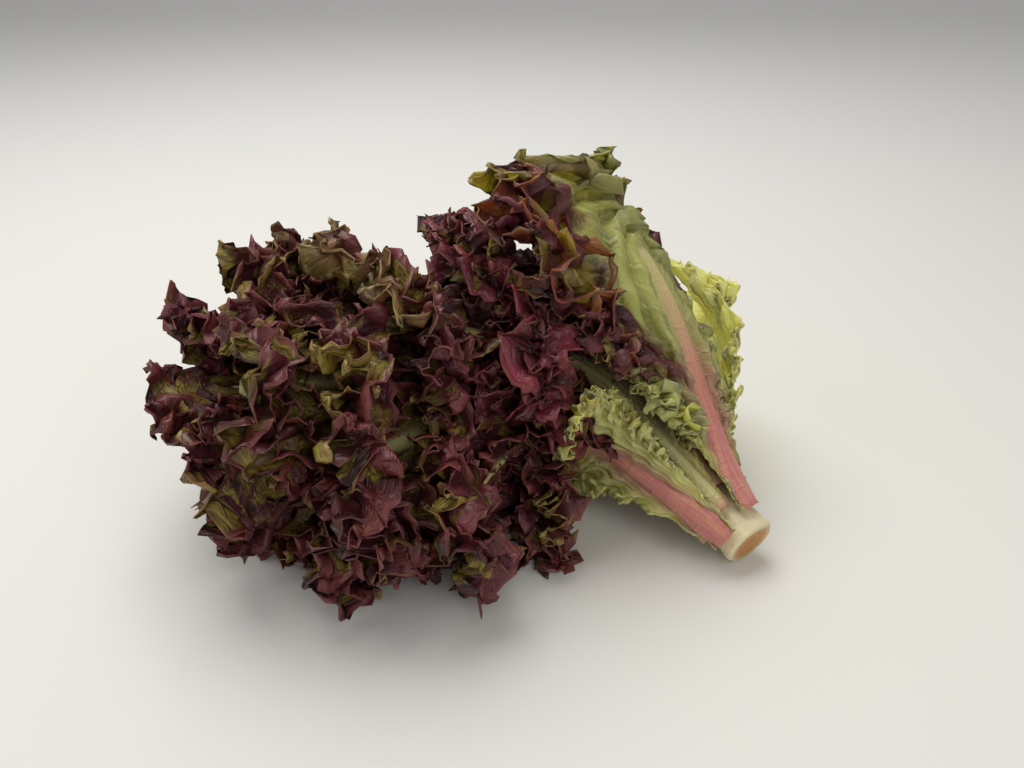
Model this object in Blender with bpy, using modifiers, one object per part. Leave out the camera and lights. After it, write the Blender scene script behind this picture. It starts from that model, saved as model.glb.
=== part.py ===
"""A head of frilly red leaf lettuce, lying on its side on a flat surface.

A short cut stem carries the leaves in a golden-angle spiral, the oldest lowest on the stem and outermost.
Every leaf lies in a layer of its own round one bent axis, so leaves nest and never cross. Lengths in the
constants are millimetres and angles are degrees; the finished solids are in metres, +Z up.
"""

import math

import bmesh
import bpy
import numpy as np
from mathutils import Vector

MM = 0.001
MERGE_DISTANCE = 0.00005
WELD_DISTANCE = 0.000001

# The head: leaf 0 is the oldest and outermost
LEAF_COUNT = 24
GOLDEN_ANGLE = 137.5
FIRST_LEAF_ANGLE = -35.0
OLDEST_HALF_WIDTH = 92.0
YOUNGEST_HALF_WIDTH = 60.0
# The short outer leaf, the tall one beside it and the one behind are narrower than the rule
HALF_WIDTHS_OF_THEIR_OWN = {0: 50.0, 2: 66.0, 3: 88.0, 4: 54.0, 5: 50.0, 8: 64.0}
# The tall leaf's right half is the narrow one
RIGHT_SHARES = {2: 0.5}

# The axis: straight through the stem, then bent round to the middle of the frilled end
STEM_LIFT = 10.4
STEM_DIRECTION = (-0.595, 0.684, 0.423)
AXIS_STRAIGHT = 70.0
AXIS_BEND = 40.0
AXIS_END = (-175.0, 44.0, 55.0)
AXIS_BEFORE, AXIS_BEYOND = 60.0, 300.0
AXIS_STEP = 2.0
FRONT_SIDE = (0.0, -0.87, 0.5)

# The stem, turned round the start of the axis
STEM_RADIUS = 12.5
STEM_TOP_RADIUS = 4.0
STEM_LENGTH = 60.0
STEM_TAPER = 1.4
STEM_RING_HEIGHTS = (60.0, 46.0, 30.0, 16.0, 8.0, 2.0)
STEM_STEPS = 20
STEM_DOME = 3.0
CUT_CHAMFER = 1.6
CUT_RIM = 0.3
FIRST_LEAF_HEIGHT = 10.0
INTERNODE = 2.0
FACE_GAP = 0.35

# How a leaf leaves the stem: the oldest at a wide angle, wider on the upper right side
START_MEAN = 8.0
START_SWING = 3.0
START_SIDE = 100.0
YOUNGEST_START = 1.5
START_PULL = 0.42
END_PULL = 0.58

# Where a leaf ends: on a ball of frills round the end of the axis, swollen where it opens back
BALL_RADIUS = 84.0
BALL_SWELL = 24.0
LOW_SIDE = -140.0
LOW_SHARE = 0.1
OPEN_MEAN = 122.0
OPEN_SWING = 16.0
OPEN_SIDE = -60.0
OPEN_POWER = 0.6
YOUNGEST_OPEN = 0.06
WIDEST_WRAP = 63.0
ROOT_WRAP = 30.0
WRAP_NEAR, WRAP_FAR = 10.0, 90.0
# Leaves that end elsewhere: place along the axis, distance from it, end angle and start angle
ENDS_OF_THEIR_OWN = {
    0: (126.0, 48.6, 42.0, 22.6),
    1: (120.0, 88.0, 124.0, 9.0),
    2: (112.0, 98.0, 60.0, 16.0),
    3: (131.0, 92.0, 127.0, 6.0),
    4: (96.0, 86.0, 54.0, 25.0),
    5: (140.0, 66.0, 112.0, 12.0),
    7: (166.0, 80.0, 98.0, 7.0),
}
# Leaves that swing round the axis on their way out
SWEEPS = {0: -42.0, 2: 14.0, 3: -8.0, 4: -12.0, 5: 12.0, 6: -17.0, 7: -10.0}
SWEEPS.update({8: 4.0, 10: 12.0, 17: 6.0, 20: -8.0})
# Outer leaves that stay flat across instead of wrapping round the head
FLATS = {0: 0.9, 2: 0.6, 4: 0.5}
# The tall leaf's left half leans along the head
LEANS = {2: 0.75}
LEAN_NEAR, LEAN_FAR = 40.0, 130.0

# The outline of a leaf, as shares of its length and half width
ROOT_WIDTH_SHARE = 0.10
ROOT_WIDTH_MOST = 0.70
WIDEST_SHARE = 0.70
FLANK_SHARE = 0.68
TIP_ROUNDNESS = 0.8
VEIN_SHARE = 0.80
VEIN_CURVE = 1.2

# Thickness of blade and midrib
BLADE_THICKNESS = 0.8
RIB_THICKNESS = 3.0
OUTER_RIB_THICKNESS = 4.2
OUTER_LEAVES = 6
RIB_HALF_WIDTH = 5.0
RIB_TIP_SHARE = 0.25
RIB_TAPER = 1.5
RIB_MOST_SHARE = 0.3
RIB_LEAST = 0.8

# Ruffles
ROWS_OUTER = 18
ROWS_INNER = 14
INNER_FROM = 14
COLUMN_SHARES = (0.0, 0.1, 0.42, 0.74, 1.0)
RUFFLE_PER_RADIUS = 0.11
RUFFLE_NEAR = 25.0
RUFFLE_START = 0.25
RUFFLE_POWER = 1.4
RUFFLE_UNEVEN = 0.22
RUFFLE_BEAT, RUFFLE_BEAT_LEAF = 7.0, 1.9

# Broad folds that every leaf shares
FOLD_HEIGHT = 6.0
FOLD_COUNT = 5
FOLD_NEAR, FOLD_FAR = 30.0, 90.0
FOLD_LEAN = 33.0

# The flat surface that the head has settled on
SETTLE_HEIGHT = 20.0
SETTLE_FLOOR = -0.6
SETTLE_NEAR, SETTLE_FAR = 30.0, 85.0

# Colours: the three outer leaves on the right show their yellow-green backs
GREEN_LEAVES = (0, 2, 4)
GREEN_LEAF = (0.42, 0.46, 0.18)
RED_LEAF = (0.25, 0.08, 0.10)
LEAF_ROUGHNESS = 0.4
STEM_COLOUR = (0.74, 0.68, 0.45)
STEM_ROUGHNESS = 0.5


def smooth_step(value, low, high):
    """Rises smoothly from 0 to 1 between two values."""
    share = np.clip((value - low) / (high - low), 0.0, 1.0)
    return share * share * (3.0 - 2.0 * share)


def bent_axis():
    """Arc lengths, points and two side directions along the axis, which runs on straight at both ends."""
    start = np.array((0.0, 0.0, STEM_LIFT))
    ahead = np.array(STEM_DIRECTION) / np.linalg.norm(STEM_DIRECTION)
    turn = start + AXIS_STRAIGHT * ahead
    control = turn + AXIS_BEND * ahead
    end = np.array(AXIS_END)
    reach = np.linalg.norm(end - control)
    onward = (end - control) / reach
    share = np.linspace(0.0, 1.0, 60)[:, None]
    straight = control + AXIS_BEND * onward
    curve = (1 - share) ** 2 * turn + 2 * share * (1 - share) * control + share**2 * straight
    beyond = np.arange(AXIS_BEND + AXIS_STEP, reach + AXIS_BEYOND, AXIS_STEP)
    beyond = control + beyond[:, None] * onward
    before = start + np.arange(-AXIS_BEFORE, AXIS_STRAIGHT, AXIS_STEP)[:, None] * ahead
    points = np.vstack([before, curve, beyond])
    steps = np.linalg.norm(np.diff(points, axis=0), axis=1)
    arc = np.concatenate([[0.0], np.cumsum(steps)]) - AXIS_BEFORE
    tangents = np.gradient(points, arc, axis=0)
    tangents /= np.linalg.norm(tangents, axis=1)[:, None]
    side = np.array(FRONT_SIDE)
    sides = []
    for tangent in tangents:
        side = side - tangent * (side @ tangent)
        side = side / np.linalg.norm(side)
        sides.append(side)
    sides = np.array(sides)
    return arc, points, sides, np.cross(tangents, sides)


AXIS = bent_axis()
BALL_PLACE = AXIS[0][np.linalg.norm(AXIS[1] - np.array(AXIS_END), axis=1).argmin()]


def along_axis(table, height):
    """Values of a table of the axis at heights over the cut face."""
    return np.stack([np.interp(height, AXIS[0], table[:, i]) for i in range(3)], axis=-1)


def stem_radius(height):
    """Radius of the stem at a height over its cut face."""
    share = np.clip(height / STEM_LENGTH, 0.0, 1.0)
    return STEM_RADIUS + (STEM_TOP_RADIUS - STEM_RADIUS) * share**STEM_TAPER


class Leaf:
    """The sizes that set one leaf apart; number 0 is the oldest."""

    def __init__(self, number):
        self.number = number
        self.age = 1.0 - number / (LEAF_COUNT - 1)
        self.angle = math.radians(FIRST_LEAF_ANGLE - GOLDEN_ANGLE * number)
        self.sweep = math.radians(SWEEPS.get(number, 0.0))
        rule_width = YOUNGEST_HALF_WIDTH + (OLDEST_HALF_WIDTH - YOUNGEST_HALF_WIDTH) * self.age
        self.half_width = HALF_WIDTHS_OF_THEIR_OWN.get(number, rule_width)
        self.root_height = FIRST_LEAF_HEIGHT + INTERNODE * number
        self.root_radius = stem_radius(self.root_height) + FACE_GAP + BLADE_THICKNESS / 2
        self.root_share = min(ROOT_WIDTH_SHARE, ROOT_WIDTH_MOST * self.root_radius / self.half_width)
        self.rib = OUTER_RIB_THICKNESS if number < OUTER_LEAVES else RIB_THICKNESS
        self.rows = ROWS_OUTER if number < INNER_FROM else ROWS_INNER
        self.length = 1.0
        shares = np.linspace(0.0, 1.0, 60)
        height, radius, _ = layer_profile(self, shares, self.angle + self.sweep)
        self.length = float(np.hypot(np.diff(height), np.diff(radius)).sum())


def layer_ends(leaf, angle):
    """Where a leaf's layer ends in a direction round the axis, and the angles it ends and starts at."""
    same = np.ones_like(angle)
    if leaf.number in ENDS_OF_THEIR_OWN:
        height, radius, end_angle, start_angle = ENDS_OF_THEIR_OWN[leaf.number]
        return height * same, radius * same, np.radians(end_angle) * same, np.radians(start_angle) * same
    swing = np.cos(angle - math.radians(OPEN_SIDE))
    open_share = (YOUNGEST_OPEN + (1.0 - YOUNGEST_OPEN) * leaf.age) ** OPEN_POWER
    end_angle = np.radians(OPEN_MEAN + OPEN_SWING * swing) * open_share
    low = np.maximum(np.cos(angle - math.radians(LOW_SIDE)), 0.0)
    reach = (BALL_RADIUS + BALL_SWELL * leaf.age) * (1.0 - LOW_SHARE * low * low)
    oldest_start = START_MEAN + START_SWING * np.cos(angle - math.radians(START_SIDE))
    start_angle = np.radians(YOUNGEST_START + (oldest_start - YOUNGEST_START) * leaf.age)
    height = BALL_PLACE + reach * np.cos(end_angle)
    return height, reach * np.sin(end_angle), end_angle, start_angle


def layer_profile(leaf, along, angle):
    """Height, distance from the axis and slope of a leaf's layer, a Bezier curve from root to end."""
    angle = np.asarray(angle, float) + np.zeros_like(along)
    end_height, end_radius, end_angle, start_angle = layer_ends(leaf, angle)
    chord = np.hypot(end_height - leaf.root_height, end_radius - leaf.root_radius)
    first = START_PULL * chord
    last = END_PULL * end_radius / np.sin(end_angle)
    heights = (
        leaf.root_height,
        leaf.root_height + first * np.cos(start_angle),
        end_height - last * np.cos(end_angle),
        end_height,
    )
    radii = (
        leaf.root_radius,
        leaf.root_radius + first * np.sin(start_angle),
        end_radius - last * np.sin(end_angle),
        end_radius,
    )
    share = along / leaf.length
    height, height_rate = bezier(heights, share)
    radius, radius_rate = bezier(radii, share)
    return height, radius, np.arctan2(radius_rate, height_rate)


def bezier(points, share):
    """Place and rate of change at a share of a cubic Bezier curve; past its end it runs on straight."""
    inside = np.clip(share, 0.0, 1.0)
    rest = 1.0 - inside
    a, b, c, d = points
    place_on = rest**3 * a + 3 * rest**2 * inside * b + 3 * rest * inside**2 * c + inside**3 * d
    rate = 3 * (rest**2 * (b - a) + 2 * rest * inside * (c - b) + inside**2 * (d - c))
    return place_on + rate * (share - inside), rate


def settle(points):
    """Presses the low side of the head against the surface, away from the stem."""
    x, y, z = points[..., 0], points[..., 1], points[..., 2]
    room = SETTLE_HEIGHT - SETTLE_FLOOR
    pressed = SETTLE_FLOOR + room * np.exp(np.minimum(z - SETTLE_HEIGHT, 0.0) / room)
    pressed = np.where(z < SETTLE_HEIGHT, pressed, z)
    share = smooth_step(np.hypot(x, y), SETTLE_NEAR, SETTLE_FAR)
    return np.stack([x, y, z + share * (pressed - z)], axis=-1)


def place(leaf, across, row_width, along, lift, wave):
    """World points of a leaf from places across and along its blade, heights over its layer and ruffles.

    A row as wide as row_width wraps round the axis, and its points stay evenly spread.
    """
    swept = leaf.angle + leaf.sweep * smooth_step(along, 0.0, leaf.length)
    middle = layer_profile(leaf, along, swept)[1]
    wrap = math.radians(ROOT_WRAP)
    wrap = wrap + math.radians(WIDEST_WRAP - ROOT_WRAP) * smooth_step(along, WRAP_NEAR, WRAP_FAR)
    middle = np.maximum(middle, 1.0)
    turned = np.maximum(row_width, 1.0) / middle / wrap
    angle = swept + across / middle * np.tanh(turned) / turned
    height, radius, slope = layer_profile(leaf, along, angle)
    radius = radius / np.cos(angle - swept) ** FLATS.get(leaf.number, 0.0)
    lean = LEANS.get(leaf.number, 0.0) * smooth_step(along, LEAN_NEAR, LEAN_FAR)
    height = height + lean * np.maximum(-across, 0.0)
    lift = lift + RUFFLE_PER_RADIUS * np.maximum(radius - RUFFLE_NEAR, 0.0) * wave
    height = height - lift * np.sin(slope)
    radius = radius + lift * np.cos(slope)
    folds = FOLD_HEIGHT * smooth_step(radius, FOLD_NEAR, FOLD_FAR)
    radius = radius + folds * np.sin(FOLD_COUNT * angle + height / FOLD_LEAN)
    height = height + folds * np.sin((FOLD_COUNT - 1) * angle + radius / FOLD_LEAN + 1.0)
    points = along_axis(AXIS[1], height)
    points = points + (radius * np.cos(angle))[..., None] * along_axis(AXIS[2], height)
    points = points + (radius * np.sin(angle))[..., None] * along_axis(AXIS[3], height)
    return settle(points)


def outline(leaf, share):
    """Half width and length reached at a share of the way from root to tip along the margin."""
    flank = np.clip(share / FLANK_SHARE, 0.0, 1.0)
    tip = np.clip((share - FLANK_SHARE) / (1.0 - FLANK_SHARE), 0.0, 1.0) * math.pi / 2
    rise = flank * flank * (3.0 - 2.0 * flank)
    width = leaf.root_share + (1.0 - leaf.root_share) * rise
    width = width * np.abs(np.cos(tip)) ** TIP_ROUNDNESS
    reach = WIDEST_SHARE * flank + (1.0 - WIDEST_SHARE) * np.sin(tip) ** TIP_ROUNDNESS
    return leaf.half_width * width, leaf.length * reach


def ruffle(leaf, margin, out):
    """Height of the ruffles: crests run from the blade to the margin, one crest for each two rows."""
    phase = math.pi * leaf.rows * (1.0 + margin)
    uneven = np.sin(RUFFLE_BEAT * margin + RUFFLE_BEAT_LEAF * leaf.number)
    swell = 1.0 - RUFFLE_UNEVEN + RUFFLE_UNEVEN * uneven
    fade = np.clip((out - RUFFLE_START) / (1.0 - RUFFLE_START), 0.0, 1.0) ** RUFFLE_POWER
    return np.cos(phase) * swell * fade


def leaf_points(leaf, margin, column):
    """Points and thicknesses of a blade: margin runs -1 to 1 round the edge, column 0 to 1 outwards."""
    share = 1.0 - np.abs(margin)
    half_width, reach = outline(leaf, share)
    vein_root = VEIN_SHARE * leaf.length * share
    rib_share = 1.0 - (1.0 - RIB_TIP_SHARE) * share
    rib_half = np.minimum(RIB_HALF_WIDTH * rib_share, RIB_MOST_SHARE * half_width + RIB_LEAST)
    rib_column = COLUMN_SHARES[1]
    out = np.clip((column - rib_column) / (1.0 - rib_column), 0.0, 1.0)
    across = np.minimum(column / rib_column, 1.0) * rib_half
    across = across + out * np.maximum(half_width - rib_half, 0.0)
    along = vein_root + (reach - vein_root) * out**VEIN_CURVE
    rib_height = (leaf.rib - BLADE_THICKNESS) * rib_share**RIB_TAPER
    thickness = BLADE_THICKNESS + np.where(column < rib_column / 2, rib_height, 0.0)
    lift = (thickness - BLADE_THICKNESS) / 2
    side = np.where(margin > 0.0, RIGHT_SHARES.get(leaf.number, 1.0), -1.0)
    row_width = half_width * np.abs(side)
    wave = ruffle(leaf, margin, out)
    return place(leaf, across * side, row_width, along, lift, wave), thickness


def material(name, colour, roughness):
    made = bpy.data.materials.new(name)
    made.use_nodes = True
    shader = made.node_tree.nodes["Principled BSDF"]
    shader.inputs["Base Color"].default_value = (*colour, 1.0)
    shader.inputs["Roughness"].default_value = roughness
    shader.inputs["Metallic"].default_value = 0.0
    made.diffuse_color = (*colour, 1.0)
    return made


def add_leaf(leaf, collection):
    """A grid bent into the blade, closed along the midrib and thickened."""
    name = f"leaf_{leaf.number + 1:02d}"
    columns = len(COLUMN_SHARES)
    mesh = bpy.data.meshes.new(name)
    work = bmesh.new()
    bmesh.ops.create_grid(work, x_segments=2 * leaf.rows, y_segments=columns - 1, size=1.0)
    work.verts.ensure_lookup_table()
    flat = np.array([v.co for v in work.verts])
    margin = flat[:, 0]
    column = np.interp(flat[:, 1], np.linspace(-1.0, 1.0, columns), COLUMN_SHARES)
    points, thickness = leaf_points(leaf, margin, column)
    weights = work.verts.layers.deform.verify()
    for vertex, point, thick in zip(work.verts, points, thickness):
        vertex.co = point * MM
        vertex[weights][0] = thick / leaf.rib
    bmesh.ops.remove_doubles(work, verts=work.verts, dist=WELD_DISTANCE)
    bmesh.ops.triangulate(work, faces=work.faces)
    bmesh.ops.recalc_face_normals(work, faces=work.faces)
    work.to_mesh(mesh)
    work.free()
    obj = bpy.data.objects.new(name, mesh)
    collection.objects.link(obj)
    obj.vertex_groups.new(name="thickness")
    solid = obj.modifiers.new("blade", "SOLIDIFY")
    solid.thickness = leaf.rib * MM
    solid.offset = 0.0
    solid.vertex_group = "thickness"
    colour = GREEN_LEAF if leaf.number in GREEN_LEAVES else RED_LEAF
    obj.data.materials.append(material(name, colour, LEAF_ROUGHNESS))
    return obj


def add_stem(collection):
    """The stem, turned from its profile, from the top down its side to the cut face."""
    profile = [(0.0, STEM_LENGTH + STEM_DOME)]
    profile += [(float(stem_radius(height)), height) for height in STEM_RING_HEIGHTS]
    profile += [(STEM_RADIUS - CUT_CHAMFER, CUT_RIM), (0.0, 0.0)]
    mesh = bpy.data.meshes.new("stem")
    work = bmesh.new()
    corners = [work.verts.new((radius * MM, 0.0, height * MM)) for radius, height in profile]
    for upper, lower in zip(corners, corners[1:]):
        work.edges.new((upper, lower))
    work.to_mesh(mesh)
    work.free()
    obj = bpy.data.objects.new("stem", mesh)
    collection.objects.link(obj)
    turn = obj.modifiers.new("turn", "SCREW")
    turn.steps = STEM_STEPS
    turn.render_steps = STEM_STEPS
    turn.use_merge_vertices = True
    turn.merge_threshold = MERGE_DISTANCE
    turn.use_normal_calculate = True
    obj.location = (0.0, 0.0, STEM_LIFT * MM)
    obj.rotation_mode = "QUATERNION"
    obj.rotation_quaternion = Vector(STEM_DIRECTION).to_track_quat("Z", "Y")
    obj.data.materials.append(material("stem", STEM_COLOUR, STEM_ROUGHNESS))
    return obj


def centre(collection):
    """Moves the head so that the middle of its box is over the origin and its lowest point is at 0."""
    graph = bpy.context.evaluated_depsgraph_get()
    corners = []
    for obj in collection.objects:
        evaluated = obj.evaluated_get(graph)
        mesh = evaluated.to_mesh()
        corners += [evaluated.matrix_world @ vertex.co for vertex in mesh.vertices]
        evaluated.to_mesh_clear()
    corners = np.array(corners)
    low, high = corners.min(axis=0), corners.max(axis=0)
    middle = Vector(((low[0] + high[0]) / 2, (low[1] + high[1]) / 2, low[2]))
    for obj in collection.objects:
        obj.location = obj.location - middle


def main():
    for old in list(bpy.data.objects):
        bpy.data.objects.remove(old)
    head = bpy.data.collections.new("red_leaf_lettuce")
    bpy.context.scene.collection.children.link(head)
    add_stem(head)
    for number in range(LEAF_COUNT):
        add_leaf(Leaf(number), head)
    centre(head)


main()
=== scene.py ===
"""Red leaf lettuce: the finished look of a loose head of frilly leaves that lies on its side.

Every leaf keeps the layer that its solid has, round one bent axis, and gets deep ruffles, small frills,
teeth, a midrib and veins. Lengths in the constants are millimetres and angles are degrees.
"""

import math

import bmesh
import bpy
import numpy as np
from mathutils import Matrix, Vector


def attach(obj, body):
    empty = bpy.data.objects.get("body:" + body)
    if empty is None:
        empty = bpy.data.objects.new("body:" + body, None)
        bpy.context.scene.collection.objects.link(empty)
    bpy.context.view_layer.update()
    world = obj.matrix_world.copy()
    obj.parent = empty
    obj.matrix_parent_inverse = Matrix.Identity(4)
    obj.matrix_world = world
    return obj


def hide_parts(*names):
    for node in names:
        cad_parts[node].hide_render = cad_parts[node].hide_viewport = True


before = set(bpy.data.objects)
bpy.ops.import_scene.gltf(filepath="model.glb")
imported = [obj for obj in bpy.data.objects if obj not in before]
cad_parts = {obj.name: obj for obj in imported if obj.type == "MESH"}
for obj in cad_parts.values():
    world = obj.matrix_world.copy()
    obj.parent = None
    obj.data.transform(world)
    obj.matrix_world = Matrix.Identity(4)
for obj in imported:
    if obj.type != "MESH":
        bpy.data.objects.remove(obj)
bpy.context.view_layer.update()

bl_info = {
    "name": "Red Leaf Lettuce",
    "version": (1, 0, 0),
    "blender": (4, 5, 0),
    "location": "View3D > Sidebar > Lettuce",
    "description": "Builds a head of red leaf lettuce, leaf by leaf, on a pale floor",
    "category": "Add Mesh",
}

MM = 0.001

# The head, with the same values as its solids: leaf 0 is the oldest and outermost
HEAD_SHIFT = (123.5535, -49.8528, 0.0161)
LEAF_COUNT = 24
GOLDEN_ANGLE = 137.5
FIRST_LEAF_ANGLE = -35.0
OLDEST_HALF_WIDTH = 92.0
YOUNGEST_HALF_WIDTH = 60.0
HALF_WIDTHS_OF_THEIR_OWN = {0: 50.0, 2: 66.0, 3: 88.0, 4: 54.0, 5: 50.0, 8: 64.0}
RIGHT_SHARES = {2: 0.16}
STEM_LIFT = 10.4
STEM_DIRECTION = (-0.595, 0.684, 0.423)
AXIS_STRAIGHT = 70.0
AXIS_BEND = 40.0
AXIS_END = (-175.0, 44.0, 55.0)
AXIS_BEFORE, AXIS_BEYOND = 60.0, 300.0
AXIS_STEP = 2.0
FRONT_SIDE = (0.0, -0.87, 0.5)
STEM_RADIUS = 12.5
STEM_TOP_RADIUS = 4.0
STEM_LENGTH = 60.0
STEM_TAPER = 1.4
FIRST_LEAF_HEIGHT = 10.0
INTERNODE = 2.0
FACE_GAP = 0.35
CUT_SLANT = 5.0
START_MEAN, START_SWING, START_SIDE = 8.0, 3.0, 100.0
YOUNGEST_START = 1.5
START_PULL, END_PULL = 0.42, 0.58
BALL_RADIUS, BALL_SWELL = 84.0, 24.0
LOW_SIDE, LOW_SHARE = -140.0, 0.1
OPEN_MEAN, OPEN_SWING, OPEN_SIDE = 122.0, 16.0, -60.0
OPEN_POWER = 0.6
YOUNGEST_OPEN = 0.06
WIDEST_WRAP, ROOT_WRAP = 63.0, 30.0
WRAP_NEAR, WRAP_FAR = 10.0, 90.0
ENDS_OF_THEIR_OWN = {
    0: (126.0, 48.6, 42.0, 22.6),
    1: (120.0, 88.0, 124.0, 9.0),
    2: (112.0, 98.0, 60.0, 16.0),
    3: (131.0, 92.0, 127.0, 6.0),
    4: (96.0, 86.0, 54.0, 25.0),
    5: (140.0, 66.0, 112.0, 12.0),
    7: (166.0, 80.0, 98.0, 7.0),
}
SWEEPS = {0: -42.0, 2: 14.0, 3: -8.0, 4: -12.0, 5: 12.0, 6: -17.0, 7: -10.0, 8: 4.0, 10: 12.0, 17: 6.0, 20: -8.0}
FLATS = {0: 0.9, 2: 0.6, 4: 0.5}
LEANS = {2: 0.75}
LEAN_NEAR, LEAN_FAR = 40.0, 130.0
ROOT_WIDTH_SHARE, ROOT_WIDTH_MOST = 0.10, 0.70
WIDEST_SHARE, FLANK_SHARE = 0.70, 0.68
TIP_ROUNDNESS = 0.8
VEIN_SHARE, VEIN_CURVE = 0.80, 1.2
RIB_HALF_WIDTH = 5.0
RIB_TIP_SHARE, RIB_TAPER = 0.25, 1.5
RIB_LEAST = 0.8
RIB_COLUMN = 0.1
ROWS_OUTER, ROWS_INNER, INNER_FROM = 18, 14, 14
RUFFLE_PER_RADIUS, RUFFLE_NEAR = 0.11, 25.0
RUFFLE_START, RUFFLE_POWER = 0.25, 1.4
RUFFLE_UNEVEN = 0.22
RUFFLE_BEAT, RUFFLE_BEAT_LEAF = 7.0, 1.9
FOLD_HEIGHT, FOLD_COUNT = 6.0, 5
FOLD_NEAR, FOLD_FAR, FOLD_LEAN = 30.0, 90.0, 33.0
SETTLE_HEIGHT, SETTLE_FLOOR = 20.0, -0.6
SETTLE_NEAR, SETTLE_FAR = 30.0, 85.0

# The fine mesh: shares of the way from midrib to margin, and the columns from which rows are split again
COLUMN_SHARES = (
    0.0, 0.02, 0.04, 0.06, 0.08, 0.1, 0.13, 0.17, 0.22, 0.28, 0.34, 0.41,
    0.48, 0.55, 0.62, 0.69, 0.75, 0.81, 0.865, 0.91, 0.945, 0.97, 0.988, 1.0,
)
SPLIT_FROM = (12, 16, 19)
GREEN_LEAVES = (0, 2, 4)
WELD_DISTANCE = 0.000001

# How far the red reaches from the margin of each leaf, and how strong it is there
RED_REACH = {0: 6.0, 1: 60.0, 2: 25.0, 3: 90.0, 4: 3.0, 5: 60.0, 7: 20.0}
RED_REACH_OF_THE_REST = 110.0
RED_STRENGTH = {0: 0.3, 2: 1.0, 4: 0.05}
# How light the green of each leaf is, from the darkest to the yellow-green of the outer ones; the lightest end is
# painted brighter than the leaf's own green, for the light through the outer leaf
FRESHNESS = {0: 1.0, 2: 0.36, 4: 1.0, 5: 0.75, 7: 0.05, 10: 0.45}

# Half width of the midrib at the root, and how many veins leave it on each side
RIB_HALF_WIDTHS = {0: 12.5, 2: 14.0, 4: 6.0}
LATERAL_VEINS = 9.0
FOLDED_LEAVES = {0: 2.0, 2: 2.4, 4: 1.4}
ROOT_SHARES = {0: 0.18, 2: 0.15, 4: 0.14}
# Small moves of the free ends, in millimetres along x, y and z
NUDGES = {
    2: (-14.0, 0.0, 4.0), 3: (-4.0, 0.0, -9.0), 4: (-8.0, 0.0, 9.0), 5: (-3.0, 0.0, 8.0), 7: (7.0, 0.0, 3.0), 10: (14.0, 0.0, -12.0),
    12: (0.0, 0.0, -8.0), 15: (0.0, 0.0, -12.0), 20: (-5.0, 0.0, 0.0), 21: (-4.0, 0.0, 0.0), 23: (-7.0, 0.0, 0.0),
}
# Half widths of finished blades that are wider than their solids
WIDER = {0: 60.0}
# How far from the root the pink of the midrib runs, and how rosy the red of a leaf is
PINK_REACH = {0: 1.1, 2: 1.1, 5: 0.05}
ROSY = {2: 0.5, 5: 1.0, 7: 0.6}
# Creases that run along the midrib: how far apart they are, and how deep
CREASES = {0: (9.5, 2.6), 2: (10.5, 8.0)}

# Where the frills start on the way to the margin, and the shares of lobes and small frills, leaf by leaf
FRILLS = {0: (0.7, 0.6, 0.8), 2: (0.5, 0.85, 0.85), 4: (0.66, 0.45, 0.7)}
FRILLS_OF_THE_REST = (0.1, 1.0, 1.0)
# Frilled folds that stand on a blade: column, first and last place round the margin, width, and side
FOLDS = {
    0: (),
    2: ((0.86, -0.50, -0.04, 15.0, 1.0), (0.66, -0.46, -0.10, 14.0, 1.0), (0.8, -0.78, -0.55, 12.0, 1.0)),
    3: ((0.82, -0.8, 0.8, 15.0, 1.0), (0.62, -0.7, 0.7, 15.0, -1.0), (0.8, -0.75, 0.75, 15.0, -1.0), (0.4, -0.6, 0.6, 15.0, -1.0)),
    4: (),
    5: ((0.8, -0.8, 0.8, 15.0, 1.0), (0.55, -0.65, 0.65, 15.0, 1.0), (0.8, -0.7, 0.7, 14.0, -1.0)),
    7: ((0.9, -0.8, 0.8, 13.0, 1.0), (0.8, -0.7, 0.7, 14.0, -1.0)),
    10: ((0.62, -0.74, 0.74, 15.0, 1.0), (0.36, -0.62, 0.62, 15.0, 1.0)),
}
FOLDS_OF_THE_OUTER = ((0.82, -0.82, 0.82, 15.0, 1.0), (0.6, -0.74, 0.74, 16.0, 1.0), (0.36, -0.62, 0.62, 16.0, 1.0))
FOLDS_OF_THE_INNER = ((0.76, -0.6, 0.6, 14.0, 1.0), (0.52, -0.6, 0.6, 14.0, 1.0), (0.3, -0.5, 0.5, 13.0, 1.0))
FOLDS_OF_THE_INNERMOST = ((0.74, -0.55, 0.55, 12.0, -1.0), (0.48, -0.5, 0.5, 12.0, -1.0))
OUTER_UNTIL, INNER_UNTIL = 13, 18
FOLD_STEP, FOLD_COLUMNS = 0.99, 4
# How close to the floor a leaf comes, and how high its tips may reach
FLOOR_GAP, FLOOR_ROOM = 0.35, 3.0
TIP_HEIGHT, TIP_ROOM = 156.0, 11.0
TAN_TIPS = (10,)
# The tall leaf is redder on the side that leans along the head
RED_ON_THE_LEFT = {2: 1.6}


def smooth_step(value, low, high):
    """Rises smoothly from 0 to 1 between two values."""
    share = np.clip((value - low) / (high - low), 0.0, 1.0)
    return share * share * (3.0 - 2.0 * share)


def unit(vectors):
    """Vectors scaled to length 1."""
    return vectors / np.maximum(np.linalg.norm(vectors, axis=-1, keepdims=True), 1e-9)


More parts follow.
